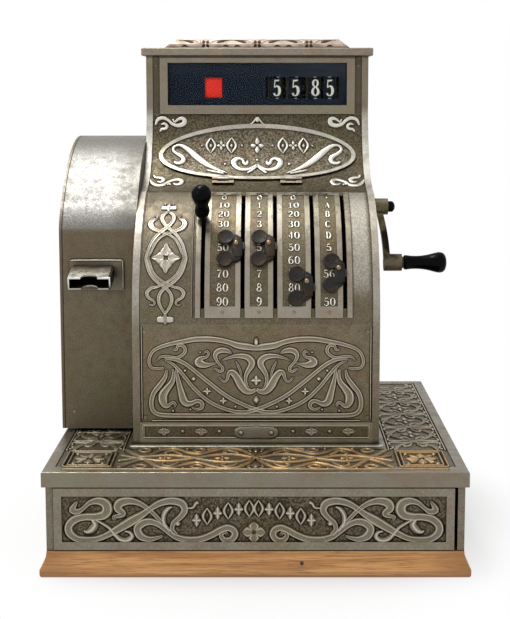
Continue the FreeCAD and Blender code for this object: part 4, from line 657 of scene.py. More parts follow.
# The least half-width of a stroke, and how far its foot stands off its face
THINNEST, FOOT = 0.25, 0.06


def filled(points):
    """Points as (u, v, half-width): a missing half-width lies between its neighbours'."""
    given = [(n, p[2]) for n, p in enumerate(points) if len(p) > 2]
    places, values = zip(*given)
    widths = np.interp(range(len(points)), places, values)
    return np.array([(p[0], p[1], w) for p, w in zip(points, widths)], float)


def smooth(points, closed, pace):
    """A Catmull-Rom line through the points, sampled about every pace millimetres."""
    count = len(points)
    runs = []
    spans = count if closed else count - 1
    for n in range(spans):
        if closed:
            a, b, c, d = (points[(n + k - 1) % count] for k in range(4))
        else:
            b, c = points[n], points[n + 1]
            a = points[n - 1] if n else 2 * b - c
            d = points[n + 2] if n + 2 < count else 2 * c - b
        length = math.hypot(*(c - b)[:2])
        steps = max(2, int(length / pace))
        t = (np.arange(steps) / steps)[:, None]
        runs.append(0.5 * (2 * b + (c - a) * t + (2 * a - 5 * b + 4 * c - d) * t ** 2
                           + (3 * b - a - 3 * c + d) * t ** 3))
    if not closed:
        runs.append(points[-1:])
    line = np.concatenate(runs)
    line[:, 2] = np.maximum(line[:, 2], THINNEST)
    return line


def placed(points, u, v, across=1, up=1):
    """Points that count from a place on the face, mirrored or stretched by across and up."""
    return [(u + across * a, v + up * b, w) for a, b, w in points]


def row_angle(row):
    """The turn, about the levers' axis, of one of the ten rows of a number strip."""
    return math.radians(LOWEST_ROW + ROW_STEP * (9 - row))


def solid(name, made, look):
    """An object with one look, made from a bmesh whose faces are turned outwards."""
    bmesh.ops.recalc_face_normals(made, faces=made.faces)
    mesh = bpy.data.meshes.new(name)
    made.to_mesh(mesh)
    made.free()
    mesh.materials.append(LOOKS[look])
    thing = bpy.data.objects.new(name, mesh)
    scene.collection.objects.link(thing)
    return thing


class Relief:
    """Gathers raised strokes on one face, then makes them into one piece."""

    def __init__(self, face, height=1.3, profile=RIDGED, pace=1.3, sink=0.5):
        self.face, self.height, self.profile, self.pace, self.sink = face, height, profile, pace, sink
        self.places, self.lifts, self.faces = [], [], []
        self.count = 0
        # The skirt is a low rim round each stroke that the look leaves dark: painted shade at the stroke's foot, with
        # patina.
        self.swell, self.skirt = 1.0, 0.8
        self.mirror = None
        self.shift = (0.0, 0.0)

    def stroke(self, points, height=None, profile=None, closed=False, once=False):
        """One stroke through (u, v) or (u, v, half-width) points, and its twin across the mirror line."""
        line = filled(points)
        line[:, 2] *= self.swell
        line[:, :2] += self.shift
        line = smooth(line, closed, self.pace)
        self.sweep(line, height or self.height, profile or self.profile, closed)
        if self.mirror is not None and not once:
            twin = line.copy()
            twin[:, 0] = 2 * self.mirror - twin[:, 0]
            self.sweep(twin, height or self.height, profile or self.profile, closed)

    def span(self, points, profile=None):
        """One stroke whose first point is on the mirror line and whose other half is its own mirror image."""
        line = filled(points)
        twin = line[:0:-1].copy()
        twin[:, 0] = 2 * (self.mirror - self.shift[0]) - twin[:, 0]
        self.stroke([tuple(p) for p in np.concatenate([twin, line])], profile=profile, once=True)

    def sweep(self, line, height, profile, closed):
        way = np.gradient(line[:, :2], axis=0)
        if closed:
            way = np.roll(line[:, :2], -1, 0) - np.roll(line[:, :2], 1, 0)
        way /= np.maximum(np.linalg.norm(way, axis=1), 1e-9)[:, None]
        side = np.stack([-way[:, 1], way[:, 0]], 1)
        share = np.array([-1] + [x for x, _ in profile] + [1, 1, -1])
        beyond = np.array([-1] + [0] * len(profile) + [1, 1, -1]) * self.skirt
        lift = np.array([0] + [y for _, y in profile] + [0, 0, 0])
        rise = np.maximum(lift * height, FOOT)
        rise[-2:] = -self.sink
        flat = line[:, 2][:, None] * share[None, :] + beyond[None, :]
        slim = np.minimum(1.0, line[:, 2] / (0.55 * height))[:, None]
        h = np.where(rise[None, :] > FOOT, rise[None, :] * slim, rise[None, :])
        u = line[:, 0][:, None] + flat * side[:, 0][:, None]
        v = line[:, 1][:, None] + flat * side[:, 1][:, None]
        self.lifts.append(np.tile(lift, len(line)))
        self.places.append(np.stack(self.face.at(u, v, h), -1).reshape(-1, 3))
        rows, wide = u.shape
        first = self.count
        for row in range(rows if closed else rows - 1):
            a, b = first + row * wide, first + (row + 1) % rows * wide
            for n in range(wide):
                m = (n + 1) % wide
                self.faces.append((a + n, a + m, b + m, b + n))
        if not closed:
            self.faces.append(tuple(range(first + wide - 1, first - 1, -1)))
            last = first + (rows - 1) * wide
            self.faces.append(tuple(range(last, last + wide)))
        self.count += rows * wide

    def ring_faces(self, rings, sides):
        """Faces of the next round solid: rings of points from low to high, closed by a floor and one top point."""
        first, made = self.count, []
        for ring in range(rings - 1):
            for n in range(sides):
                m = (n + 1) % sides
                a = first + ring * sides
                made.append((a + n, a + m, a + sides + m, a + sides + n))
        top = first + (rings - 1) * sides
        made += [(top + n, top + (n + 1) % sides, top + sides) for n in range(sides)]
        made.append(tuple(range(first + sides - 1, first - 1, -1)))
        return made

    def dome(self, u, v, radius, height=None, tall=1.0, sides=16, once=False, turn=0.0):
        """A low round stud, or a lozenge where it has four sides."""
        height = height or self.height
        u, v = u + self.shift[0], v + self.shift[1]
        rim = 1 + self.skirt / radius
        rings = ((rim, -self.sink), (rim, FOOT), (1.0, FOOT), (0.86, 0.6 * height), (0.55, 0.92 * height))
        angles = math.tau * np.arange(sides) / sides + turn
        places = []
        for share, h in rings:
            places.append((u + radius * share * np.cos(angles), v + radius * tall * share * np.sin(angles),
                           np.full(sides, h)))
        uu = np.concatenate([p[0] for p in places] + [[u]])
        vv = np.concatenate([p[1] for p in places] + [[v]])
        hh = np.concatenate([p[2] for p in places] + [[height]])
        twins = [(uu, 1)]
        if self.mirror is not None and not once and abs(u - self.mirror) > 0.5:
            twins.append((2 * self.mirror - uu, -1))
        for across, way in twins:
            self.places.append(np.stack(self.face.at(across, vv, hh), -1))
            self.lifts.append(np.clip(hh / height, 0, 1))
            self.faces += [face[::way] for face in self.ring_faces(len(rings), sides)]
            self.count += len(uu)

    def ring_solid(self, u, v, rings, sides):
        """A closed round solid from (radius, height) rings, low to high, ending at its centre."""
        angles = math.tau * np.arange(sides) / sides
        uu = np.concatenate([u + r * np.cos(angles) for r, _ in rings] + [[u]])
        vv = np.concatenate([v + r * np.sin(angles) for r, _ in rings] + [[v]])
        hh = np.concatenate([np.full(sides, h) for _, h in rings] + [[rings[-1][1]]])
        self.places.append(np.stack(self.face.at(uu, vv, hh), -1))
        self.lifts.append(np.full(len(uu), 0.7))
        self.faces += self.ring_faces(len(rings), sides)
        self.count += len(uu)

    def disc(self, u, v, radius):
        """A round tab with a rolled rim and a shallow dish."""
        h = self.height
        self.ring_solid(u, v, ((radius * .96, -self.sink), (radius, -self.sink * .4), (radius, h * .5),
                               (radius * .96, h * .9), (radius * .9, h), (radius * .82, h * .86),
                               (radius * .6, h * .5), (radius * .3, h * .34), (radius * .1, h * .3)), sides=40)

    def petals(self, u, v, across, tall, width, hole=0.0, profile=ROUND, height=None):
        """Four pointed petals about a small open diamond."""
        once = self.mirror is not None and abs(u + self.shift[0] - self.mirror) < 1.0
        for du, dv in ((1, 0), (-1, 0), (0, 1), (0, -1)):
            far = across if du else tall
            pts = [(u + du * (hole + (far - hole) * t), v + dv * (hole + (far - hole) * t), w * width)
                   for t, w in ((0, 0.35), (0.2, 0.75), (0.48, 1.0), (0.75, 0.6), (0.9, 0.22), (1.0, 0.08))]
            self.stroke(pts, profile=profile, once=once, height=height)

    def write(self, text, u, v, tall, face_width, bold, height=None):
        """Raised figures or single letters, centred on u and v."""
        wide, gap = tall * face_width, 0.3
        step = wide * (1 + gap)
        start = u - step * (len(text) - 1) / 2 - wide / 2
        for n, sign in enumerate(text):
            for closed, points in GLYPHS[sign]:
                pts = [(start + n * step + x / 0.6 * wide, v + (y - 0.5) * tall, w * tall * bold) for x, y,
                       w in points]
                self.stroke(pts, closed=closed, once=True, profile=ROUND, height=height)

    def piece(self, name, look, slot, body="root"):
        """Makes the strokes so far into one object that rides on a body."""
        made = bmesh.new()
        for place in np.concatenate(self.places) * MM:
            made.verts.new(place)
        made.verts.ensure_lookup_table()
        for face in self.faces:
            made.faces.new([made.verts[n] for n in face]).smooth = True
        thing = solid(name, made, look)
        lift = thing.data.attributes.new("lift", "FLOAT", "POINT")
        lift.data.foreach_set("value", np.concatenate(self.lifts).astype(np.float32))
        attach(thing, body)
        return thing


# Figures and single letters in a box 0.6 wide and 1 tall: (closed, points with half-widths)
GLYPHS = {
    "0": [(True, [(.3, .97, .035), (.1, .82, .07), (.05, .5, .09), (.1, .18, .07), (.3, .03, .035), (.5, .18, .07),
                  (.55, .5, .09), (.5, .82, .07)])],
    "1": [(False, [(.32, 1, .07), (.32, .5, .08), (.32, 0, .08)]),
          (False, [(.1, .78, .02), (.2, .88, .04), (.33, .95, .06)]),
          (False, [(.12, .03, .035), (.52, .03, .035)])],
    "2": [(False, [(.1, .72, .08), (.13, .88, .06), (.3, .97, .04), (.48, .88, .07), (.52, .7, .085), (.42, .48, .07),
                   (.2, .22, .045), (.07, .06, .04)]),
          (False, [(.06, .05, .05), (.3, .06, .06), (.5, .05, .06), (.55, .18, .03)])],
    "3": [(False, [(.09, .8, .07), (.16, .93, .05), (.3, .97, .04), (.47, .87, .07), (.48, .7, .07), (.38, .57, .04),
                   (.24, .53, .03)]), (False, [(.24, .53, .03), (.42, .5, .05), (.53, .33, .085), (.48, .12, .08),
                                               (.3, .03, .04), (.14, .07, .05), (.08, .2, .07)])],
    "4": [(False, [(.4, .98, .04), (.22, .64, .03), (.04, .3, .03)]), (False, [(.04, .28, .035), (.58, .28, .035)]),
          (False, [(.41, .98, .07), (.41, .5, .075), (.41, 0, .075)])],
    "5": [(False, [(.14, .97, .03), (.12, .75, .03), (.1, .52, .035)]),
          (False, [(.13, .93, .06), (.3, .92, .055), (.5, .96, .045)]),
          (False, [(.1, .5, .025), (.28, .6, .045), (.47, .52, .08), (.54, .31, .09), (.46, .1, .07), (.28, .03, .04),
                   (.13, .07, .05), (.08, .18, .07)])],
    "6": [(False, [(.5, .86, .055), (.36, .97, .04), (.17, .86, .06), (.07, .58, .085), (.06, .3, .09), (.14, .1, .07),
                   (.3, .03, .04), (.47, .12, .07), (.53, .3, .085), (.46, .48, .07), (.31, .56, .04),
                   (.16, .48, .03)])],
    "7": [(False, [(.06, .8, .03), (.09, .92, .05), (.3, .92, .06), (.54, .96, .04), (.5, .8, .035), (.34, .5, .06),
                   (.26, .22, .08), (.26, 0, .09)])],
    "8": [(True, [(.3, .97, .04), (.13, .88, .06), (.12, .68, .06), (.3, .54, .035), (.48, .68, .06),
                  (.47, .88, .06)]),
          (True, [(.3, .54, .035), (.1, .4, .07), (.07, .18, .08), (.3, .03, .04), (.53, .18, .08), (.5, .4, .07)])],
    "A": [(False, [(.3, .98, .03), (.17, .5, .035), (.05, 0, .05)]),
          (False, [(.3, .98, .05), (.43, .5, .075), (.56, 0, .08)]),
          (False, [(.14, .33, .03), (.47, .33, .03)])],
    "B": [(False, [(.14, 0, .08), (.14, 1, .08)]),
          (False, [(.14, .96, .03), (.38, .95, .05), (.48, .77, .08), (.38, .57, .04), (.14, .54, .03)]),
          (False, [(.14, .54, .03), (.4, .52, .05), (.53, .28, .085), (.4, .04, .05), (.14, .04, .03)])],
    "C": [(False, [(.51, .76, .06), (.44, .92, .05), (.3, .97, .04), (.11, .83, .07), (.05, .5, .09), (.11, .16, .07),
                   (.3, .03, .04), (.45, .09, .05), (.53, .26, .05)])],
    "D": [(False, [(.13, 0, .08), (.13, 1, .08)]),
          (False, [(.13, .96, .03), (.37, .92, .06), (.53, .72, .08), (.55, .5, .085), (.53, .28, .08),
                   (.37, .08, .06), (.13, .04, .03)])],
}
GLYPHS["9"] = [(closed, [(0.6 - x, 1 - y, w) for x, y, w in points]) for closed, points in GLYPHS["6"]]


# ---------------------------------------------------------------- ornament, in millimetres on its face


def lower_panel_scrolls():
    """Bow, crossing ribbons, tulip and curling leaves on the lower front panel."""
    r = Relief(Front(PANEL_Y), 1.5)
    r.mirror, r.shift = 0.0, (1.0, 0.0)
    r.span([(-1, 220.8, 3.4), (-10, 221.9, 4.2), (-21.7, 223.6, 4), (-30.2, 226.8, 3.2), (-40.2, 229.3),
            (-50.1, 230.6), (-60, 230.9, 3.3), (-70, 230.3), (-80, 228.5, 3), (-90, 226.7, 2.6), (-100, 224.3, 2.4),
            (-110, 220.8, 2.2), (-116, 216.8, 2), (-119.4, 211, 2), (-120.5, 205.4), (-119.7, 201.1, 1.9),
            (-117.3, 198.3, 1.8), (-113, 197.4, 1.7), (-107.4, 197.4, 1.6), (-103.6, 198.3, 1.1)])
    r.dome(-1, 227.2, 2.6, height=2.2, tall=2.0, once=True)
    r.stroke([(-111.6, 206.3, 1.0), (-107.4, 210.6, 1.5), (-100.8, 211.1, 1.8), (-90.3, 209.7), (-84.7, 211.6, 2),
              (-80.4, 215.8), (-80.4, 220.5, 2.2), (-83.2, 223.6, 2.2), (-86.6, 223.9, 2.2), (-88.9, 222, 1.8),
              (-89.5, 219), (-92, 218.5, 1.5), (-94, 219.5, .9)])
    r.stroke([(-103.5, 208.2, 1), (-98, 208.6, 2), (-90.3, 207.7, 2.6), (-79.9, 202.6), (-70, 195), (-60, 186.5),
              (-50.1, 178.4), (-40.2, 170.4), (-30.2, 163.7), (-20.3, 158.5), (-9.9, 153.8), (0, 150.5),
              (10, 147.6, 2.4)])
    r.stroke([(-102.5, 206.4, .8), (-94.1, 202.6, 1.8), (-86.6, 195, 2.3), (-79.9, 186.5), (-73.3, 177.9),
              (-65.7, 169.9), (-59.1, 163.7), (-50.1, 157.6), (-40.2, 152.9), (-30.2, 149.5), (-20.3, 147.6),
              (-9.9, 148.1), (0, 150, 2.3)])
    for u, v, size in ((-80.4, 195, 2.2), (-70.9, 185.5, 3.2), (-24.1, 153.8, 2.0)):
        r.dome(u, v, size, sides=4)
    for u, v, size in ((-55.8, 171.3, 4.8), (-37.8, 160.4, 4.4)):
        r.petals(u, v, size, size, 2.0)
    r.span([(-1, 143.6, 2.8), (-30, 143.6), (-60, 143.6), (-90, 143.6, 2.8), (-108, 144.4, 2.8), (-115.9, 148.2, 2.8),
            (-118.3, 155.2), (-117.8, 162.8), (-115, 170.4, 3), (-108.3, 178.9, 3.2), (-102.7, 187.4, 2.6),
            (-100.8, 196, 1.2)])
    r.stroke([(-94.1, 196.9, 1.2), (-93.2, 189.3, 2.4), (-95.1, 181.7, 3.4), (-100.8, 174.2, 4.4), (-105, 167.5, 5.4),
              (-105.4, 160.9, 5.4), (-103, 155.6, 4.2), (-99.8, 154.7, 2.8), (-97.4, 156.6, 2), (-94.1, 158.5, 1.9),
              (-91.3, 156.6, 1.7), (-93.2, 152.4, 1)])
    r.dome(-94.1, 149.1, 1.6)
    r.stroke([(-90.3, 198.8, 1.1), (-89.4, 191.2, 2), (-87.6, 181.7, 3), (-85.4, 172.3, 3.8), (-83.4, 164.7, 4.6),
              (-81.8, 160, 4.8), (-77.9, 157.2, 4.2), (-72.8, 157.8, 3), (-68.6, 159.9, 2.6), (-63.8, 159.8, 2.8),
              (-61.2, 156.2, 2.6), (-62.4, 152.2, 2.2), (-66.7, 150.8, 1.7), (-70.5, 152, 1.3), (-73.3, 153.3, 1)])
    r.dome(-74.7, 150.5, 1.5)
    r.stroke([(-44.8, 203.9, .8), (-51, 202.4, 1.8), (-58, 201.4, 3.8), (-65, 204.2, 5.6), (-62.6, 208.8, 3),
              (-57, 210.3, 1.8), (-54, 214, 1.7), (-55.6, 216.9, 1.6), (-59.5, 215.5, 1)])
    r.dome(-63.4, 215.8, 1.4)
    r.stroke([(-27.9, 214.4, .8), (-32.6, 217.2, 2.8), (-39.2, 218.2, 3.4), (-44.4, 216.2, 3.4), (-46.7, 212.2, 2.8),
              (-45.3, 207.3, 2), (-42.1, 202.6, 1.7), (-38.7, 198.8, 1.9), (-38.7, 195, 2.1), (-42.1, 194.2, 1.9),
              (-45.4, 196.4, 1.4), (-48.2, 196.9, .9)])
    r.stroke([(-39.7, 206.3, .8), (-30.2, 210.1, 1.8), (-21.3, 211.6, 2.8), (-12, 210.6, 3.6), (-6.6, 206.2, 4.2),
              (-6, 201.4, 4.0), (-9.4, 195.6, 3.2), (-12.2, 190.1, 2.6), (-12.8, 183.6, 2), (-10.4, 175.1, 1.8),
              (-6.1, 172.3, 1.6), (-1.4, 174.2, 1.4)])
    r.stroke([(-24.1, 206.3, .7), (-21.2, 200.7, 1.5), (-18.4, 193.1, 1.5), (-16.5, 184.5, .7)])
    r.stroke([(-42.5, 187.8, 1), (-39, 183.5, 1.4), (-35.9, 182.5, 1.6), (-33, 186, 1.9), (-31.3, 192, 2.6),
              (-27.5, 193, 3.8), (-22.4, 187, 4.8), (-17.4, 177.6, 5.2), (-12, 171.7, 4.2), (-6, 170.9, 3),
              (-1.6, 173.4, 1.8)])
    r.span([(-1, 137.9, .8), (-60, 137.9, .8), (-118, 137.9, .8)], profile=ROUND)
    r.stroke([(-128.8, 139, .7), (-128.8, 190, .7), (-128.8, 245, .7)], profile=ROUND)
    r.petals(-1, 183.6, 6.4, 6.2, 2.8)
    r.dome(-1, 161.4, 4.0, tall=1.5, sides=4)
    r.piece("lower_panel_scrollwork", "panel_relief", slot="nickel")


def keyboard_ornament():
    """An oval knot with a four-petalled flower, once on the left of the keyboard."""
    r = Relief(Round(KEY_AXIS, KEY_RADIUS, -1), 1.5)
    r.mirror, r.shift = -101.0, (0.0, 0.0)
    r.stroke([(-110, 146.4, 3.1), (-106, 146.6, 3.6), (-101, 146.2, 3.2)], profile=FLAT)
    r.stroke([(-101, 155, .7), (-101, 151, 2.2), (-101, 147, 3.4), (-101, 142, 2.0), (-101, 139, 1.6)], profile=FLAT)
    r.dome(-105.5, 153, 1.2, turn=.4)
    r.stroke([(-101, 139.5, 1.4), (-106.8, 133.5, 2.3), (-107.6, 127.1, 2.4), (-105, 120.7), (-100.3, 114.9),
              (-93.3, 108.2, 2.3), (-87.5, 100.6), (-83, 92), (-80.2, 82.5), (-78.6, 75.4, 1.9), (-80.2, 68, 2.3),
              (-83, 59.4), (-87.5, 52.4), (-94, 46.2), (-101, 41.4, 2.1), (-106.5, 35.4, 2.1), (-108.4, 28, 2.2),
              (-106.2, 20.6), (-101, 12.5, 1.5)])
    r.stroke([(-115.8, 133.5, 1.3), (-113.6, 130.4, 1.0), (-114.5, 127.4, 1.2), (-118.8, 124.8, 2.6),
              (-120.4, 119.7, 3.6), (-117.4, 113.9, 3.0), (-110.5, 110, 2.2), (-104.8, 107.6, 1.6),
              (-98.4, 104.6, 1.5), (-92, 99.4, 1.6), (-87.2, 91.5, 1.7), (-84, 83, 1.5), (-81.6, 76.4, 1.0),
              (-83.4, 68.6, 1.4), (-86.2, 60.6, 1.6), (-91, 54, 1.6), (-97, 49, 1.6), (-103.5, 45.2, 1.6),
              (-110, 42.4, 1.6), (-117.2, 40.4, 1.9), (-121.4, 35.7, 2.3), (-119.4, 30.4, 1.9), (-114.5, 27.4, 1.6),
              (-112.4, 24.4, 1.3), (-115.6, 21.8, 1.2), (-118.4, 23.4, .9)])
    r.stroke([(-110, 6, 2.9), (-106, 6, 3.5), (-101, 6, 3.3)], profile=FLAT)
    r.stroke([(-101, 13, 1.4), (-101, 8, 2.8), (-101, 3.4, 2.2), (-101, 0, 1.4)], profile=FLAT)
    for du, dv, far in ((1, 0, 16.4), (-1, 0, 16.4), (0, 1, 18.6), (0, -1, 18.6)):
        r.stroke([(-101.2 + du * far * t, 75.6 + dv * far * t, 5.4 * w) for t,
                  w in ((.14, .35), (.24, .95), (.36, 1.3), (.48, 1.3), (.6, .95), (.7, .62), (.8, .5), (.9, .3),
                        (1, .08))], profile=RIDGED, once=True)
    r.piece("keyboard_scrollwork", "key_relief", slot="nickel")


def keyboard_lines():
    """A fine bead on each side of the keyboard's left field."""
    r = Relief(Round(KEY_AXIS, KEY_RADIUS, -1), 0.5, profile=ROUND)
    r.stroke([(-129.2, -4, .5), (-129.2, 88, .5), (-129.2, 176, .5)], once=True)
    r.stroke([(-71.6, 8, .5), (-71.6, 92, .5), (-71.6, 176, .5)], once=True)
    r.piece("keyboard_beads", "plain", slot="nickel")


def strip_figures():
    """Raised figures in the keyboard's number strips, one row for each stop of the levers."""
    r = Relief(Round(KEY_AXIS, STRIP_RADIUS, -1), 1.0, pace=0.7, sink=0.3)
    r.skirt = 0.45
    tens = ["0", "10", "20", "30", "40", "50", "60", "70", "80", "90"]
    columns = {
        -37.6: tens,
        3.4: list("0123456789"),
        42.6: tens,
        81.6: ["", "A", "B", "C", "D", "5", "6", "56", "", "50"],
    }
    for u, texts in columns.items():
        for row, text in enumerate(texts):
            if text:
                r.write(text, u, STRIP_RADIUS * row_angle(row), 9.0, face_width=0.6, bold=1.5)
    r.dome(81.6, STRIP_RADIUS * row_angle(0), 1.3)
    r.piece("strip_figures", "figures", slot="nickel")


def head_corner_scrolls():
    """Curls in the four corners of the hollow panel round the lid."""
    r = Relief(Round(HEAD_AXIS, HEAD_RADIUS, 1), 1.5, profile=FLAT)
    r.mirror, r.shift = 0.0, HEAD_SHIFT
    r.stroke([(-124.5, -27.5, 1), (-121.5, -20.5, 2.2), (-114.5, -18.2, 2.4), (-108, -21.4, 2), (-103, -26, 2.1),
              (-96, -28, 2.6), (-89.6, -25.8, 3.2), (-88.2, -21, 3), (-92, -18.6, 2.4), (-97, -20.6, 1.7),
              (-100.6, -23.6, 1.2), (-102.6, -19.8, 1)])
    r.stroke([(-118.6, -36, 1.1), (-116.5, -32.6, 1.7), (-111.8, -32, 2), (-109.8, -28.4, 1.9), (-113, -25.6, 1.6),
              (-117.4, -26.6, 1)])
    r.stroke([(-122.6, -102, 1.7), (-121, -106.6, 1.6), (-114.5, -107.6, 2.4), (-110.4, -111.6, 2.6),
              (-113, -116.6, 2.2), (-118, -116.4, 1.4)])
    r.stroke([(-127.2, -111.5, .9), (-123.8, -119.5, 2.6), (-117.5, -125, 3.3), (-110.5, -123.6, 3),
              (-105.6, -118, 2.4), (-99.8, -113.4, 2.1), (-92.6, -111, 2.8), (-88.4, -115, 3.1), (-90.2, -121.4, 2.6),
              (-95.4, -122.6, 1.7), (-98.4, -119.6, 1.1)])
    r.stroke([(-101.4, -124.4, 1), (-103, -121.2, 1.5), (-105.4, -124, 1)])
    r.piece("head_corner_scrollwork", "head_relief", slot="nickel")


def head_finial():
    """The small flame on top of the lid's oval frame."""
    r = Relief(Round(HEAD_AXIS, HEAD_RADIUS, 1), 2.6, profile=ROUND)
    r.mirror, r.shift = 0.0, HEAD_SHIFT
    r.stroke([(-9, -27.6, .8), (-4, -25, 1.6), (-0.5, -20.6, 1.7), (1.6, -17, 1.2)])
    r.dome(2.3, -20.6, 3.2, tall=1.35)
    r.piece("head_finial", "head_relief", slot="nickel")


def lid_ornament():
    """Long curls and a leaf pair on the lid, and a plain row of lozenges across it."""
    r = Relief(Round(HEAD_AXIS, LID_RADIUS, 1), 1.7, profile=FLAT)
    r.mirror, r.shift = 0.0, HEAD_SHIFT
    r.stroke([(-34, -98.4, .6), (-45, -92.6, 2), (-55, -86, 3.2), (-65, -77.8, 4.1), (-73.4, -69.6, 4.2),
              (-82, -61, 3.5), (-89.6, -55.6, 2.4), (-96, -54.2, 1.6), (-100.8, -57, 1.7), (-101.2, -61.8, 1.9),
              (-97, -66.2, 2.2), (-91, -70, 2.9), (-88, -75, 3.1), (-90.4, -80, 2.7), (-96, -81.2, 2.1),
              (-99.6, -78.6, 1.6)])
    r.stroke([(-60, -92.8, .6), (-50, -95.4, 1.6), (-38, -99.2, 1.2)])
    r.stroke([(2, -83.4, 1.2), (-2, -87.6, 1.6), (-7.5, -91.2, 2.1), (-14.4, -92, 2.5), (-21.6, -88.6, 3),
              (-26.2, -81.6, 3.6), (-25.2, -76.2, 3.4), (-20, -73.6, 2.3), (-15.4, -75.6, 1.7), (-14.2, -79.6, 2.2),
              (-11.6, -82.6, 2.4), (-9.4, -80, 1.7), (-10.2, -77.2, 1)])
    r.stroke([(2.3, -86.6, 1), (-3.6, -92.6, 1.6), (-9.4, -98, 1.4)])
    r.dome(2.3, -75.6, 2.1)
    r.dome(-37, -82.2, 2)
    r.petals(2.3, -54.6, 9, 11.4, 3.6, hole=1.6)
    r.dome(-16.6, -54.6, 1.7)
    for u in (-29.4, -55):
        r.stroke([(u, -43.6, .5), (u + 5.4, -54.6, 1.5), (u, -65.6, .5)])
        r.stroke([(u, -43.6, .5), (u - 5.4, -54.6, 1.5), (u, -65.6, .5)])
        r.dome(u, -54.6, 2.1, tall=1.6, sides=4)
    r.petals(-42.2, -54.6, 6, 7, 2.4, hole=.8)
    r.dome(-66, -54.6, 1.6)
    r.piece("lid_scrollwork", "head_relief", body="lid", slot="nickel")


def drawer_ornament():
    """Interlaced scrolls along the drawer's front, with an arch of plain lozenges in the middle."""
    r = Relief(Front(DRAWER_Y), 1.6, profile=RIDGED)
    r.mirror, r.shift, r.swell, r.skirt = -1.5, (1.7, 0.0), 1.32, 1.3
    r.stroke([(-187.3, 80.5, 1), (-190.2, 76.1, 2), (-192.4, 71, 3), (-186.6, 69.6, 2.5), (-180.8, 73.2, 1.8),
              (-174.2, 79, 2.2), (-165.5, 81.2, 3.5), (-158.2, 78.3, 4.2), (-156, 71.7, 4.5), (-159.7, 65.9, 4),
              (-168.4, 63.8, 3.5), (-178.6, 63.8, 3.2), (-188.7, 61.6, 3.5), (-196, 55, 3.5), (-196, 47, 3.5),
              (-188.7, 40.5, 3), (-178.6, 39, 2.8), (-165.5, 40.5, 2.5), (-153.9, 45.6, 2.8), (-143.7, 51.4, 3.5),
              (-130.6, 59.4, 4), (-119, 66.7, 3), (-110.3, 73.2, 2.5), (-100.1, 79, 3), (-88.5, 81.2, 3.5),
              (-78.3, 78.3, 3.5), (-75.4, 71, 3), (-79.8, 63.8, 2.5), (-87, 57.2, 2.2), (-88.5, 49.9, 2),
              (-84.1, 44.1, 2)])
    r.stroke([(-172, 61, 1.5), (-169, 55.5, 3), (-173, 49.5, 3), (-178, 47.5, 1.8), (-180.5, 49, 1)], profile=ROUND)
    r.stroke([(-168.4, 60.8, 1), (-161.1, 56.5, 1.4), (-153.9, 51.4, 1.5), (-148.1, 44.1, 2), (-142.2, 39, 2.5),
              (-135, 38.3, 2.5), (-130.6, 42.7, 2.2), (-132.8, 47, 1.5), (-137.9, 48.5, 1)], profile=ROUND)
    r.stroke([(-148.1, 60.1, 1), (-149.5, 63.8, 1.5), (-143.7, 65, 2), (-139.3, 67.4, 2.5), (-145.2, 73.2, 3.5),
              (-142.2, 79, 4), (-133.5, 81.2, 3.5), (-123.4, 79, 2.5), (-113.2, 72.5, 2), (-104.5, 63.8, 1.8),
              (-95.7, 54.3, 1.5), (-89.9, 47, 1.2)])
    r.stroke([(-91.4, 48.5, .8), (-97.2, 57.2, 2), (-97.2, 65.9, 2.2), (-92.8, 72.5, 1.8), (-88.5, 74.7, .9)],
             profile=ROUND)
    r.stroke([(-98.6, 43.4, 1), (-104.5, 41.2, 1.6), (-113.2, 39.8, 2.5), (-121.9, 43.4, 3.5), (-124.8, 51.4, 3.5),
              (-119, 57.2, 3.5), (-110.3, 58.7, 3), (-101.6, 55, 2.5), (-91.4, 47, 2.5), (-84.1, 42, 2.7),
              (-72.5, 39, 3), (-59.4, 39.8, 3), (-47.8, 44.1, 3), (-37.6, 49.9, 3), (-30.3, 52.1, 3), (-24.5, 49.2, 3),
              (-23.1, 44.1, 3), (-27.4, 39, 2.8), (-34, 39, 2.5), (-37.6, 44.1, 2), (-34, 47.8, 1.5),
              (-31.4, 45, 1.4)])
    r.stroke([(-73.2, 73.2, .8), (-66.7, 73.9, 1.3), (-63.8, 78.3, 1.5), (-60.9, 79.4, 2)], profile=ROUND)
    r.dome(-82.7, 56.5, 3)
    r.petals(-3.2, 47.3, 12.5, 11.5, 4.6, hole=2.0, profile=RIDGED, height=1.2)
    for n in range(6):
        u = -63 + n * 11.0
        v = 57.5 + 15.5 * (1 - ((u + 3.2) / 66) ** 2)
        if n % 2:
            r.stroke([(u, v + 9.0, .6), (u + 4.4, v, 1.5), (u, v - 9.0, .6)], profile=ROUND)
            r.stroke([(u, v + 9.0, .6), (u - 4.4, v, 1.5), (u, v - 9.0, .6)], profile=ROUND)
        else:
            r.petals(u, v, 5.2, 7.6, 2.3)
    r.piece("drawer_scrollwork", "drawer_relief", body="drawer", slot="nickel")


def band_lozenges():
    """Four-pointed lozenges and small studs along the band at the foot of the cabinet."""
    r = Relief(Front(BAND_Y), 0.9, profile=ROUND)
    r.mirror = 0.0
    for v, inner in ((132.6, -2), (118.4, -22)):
        r.stroke([(-127.4, v, 1.0), (-60, v, 1.0), (inner, v, 1.0)], height=1.9)
    r.stroke([(-127.2, 119.6, .9), (-127.2, 125, .9), (-127.2, 131.6, .9)], height=1.9)
    for u in (-103.5, -61.8):
        r.petals(u, 125.4, 7.4, 5.0, 3.2, profile=RIDGED)
    for u in (-82.5, -41.4):
        r.dome(u, 125.4, 2.0, height=1.2)
    r.piece("band_lozenges", "band_relief", slot="nickel")


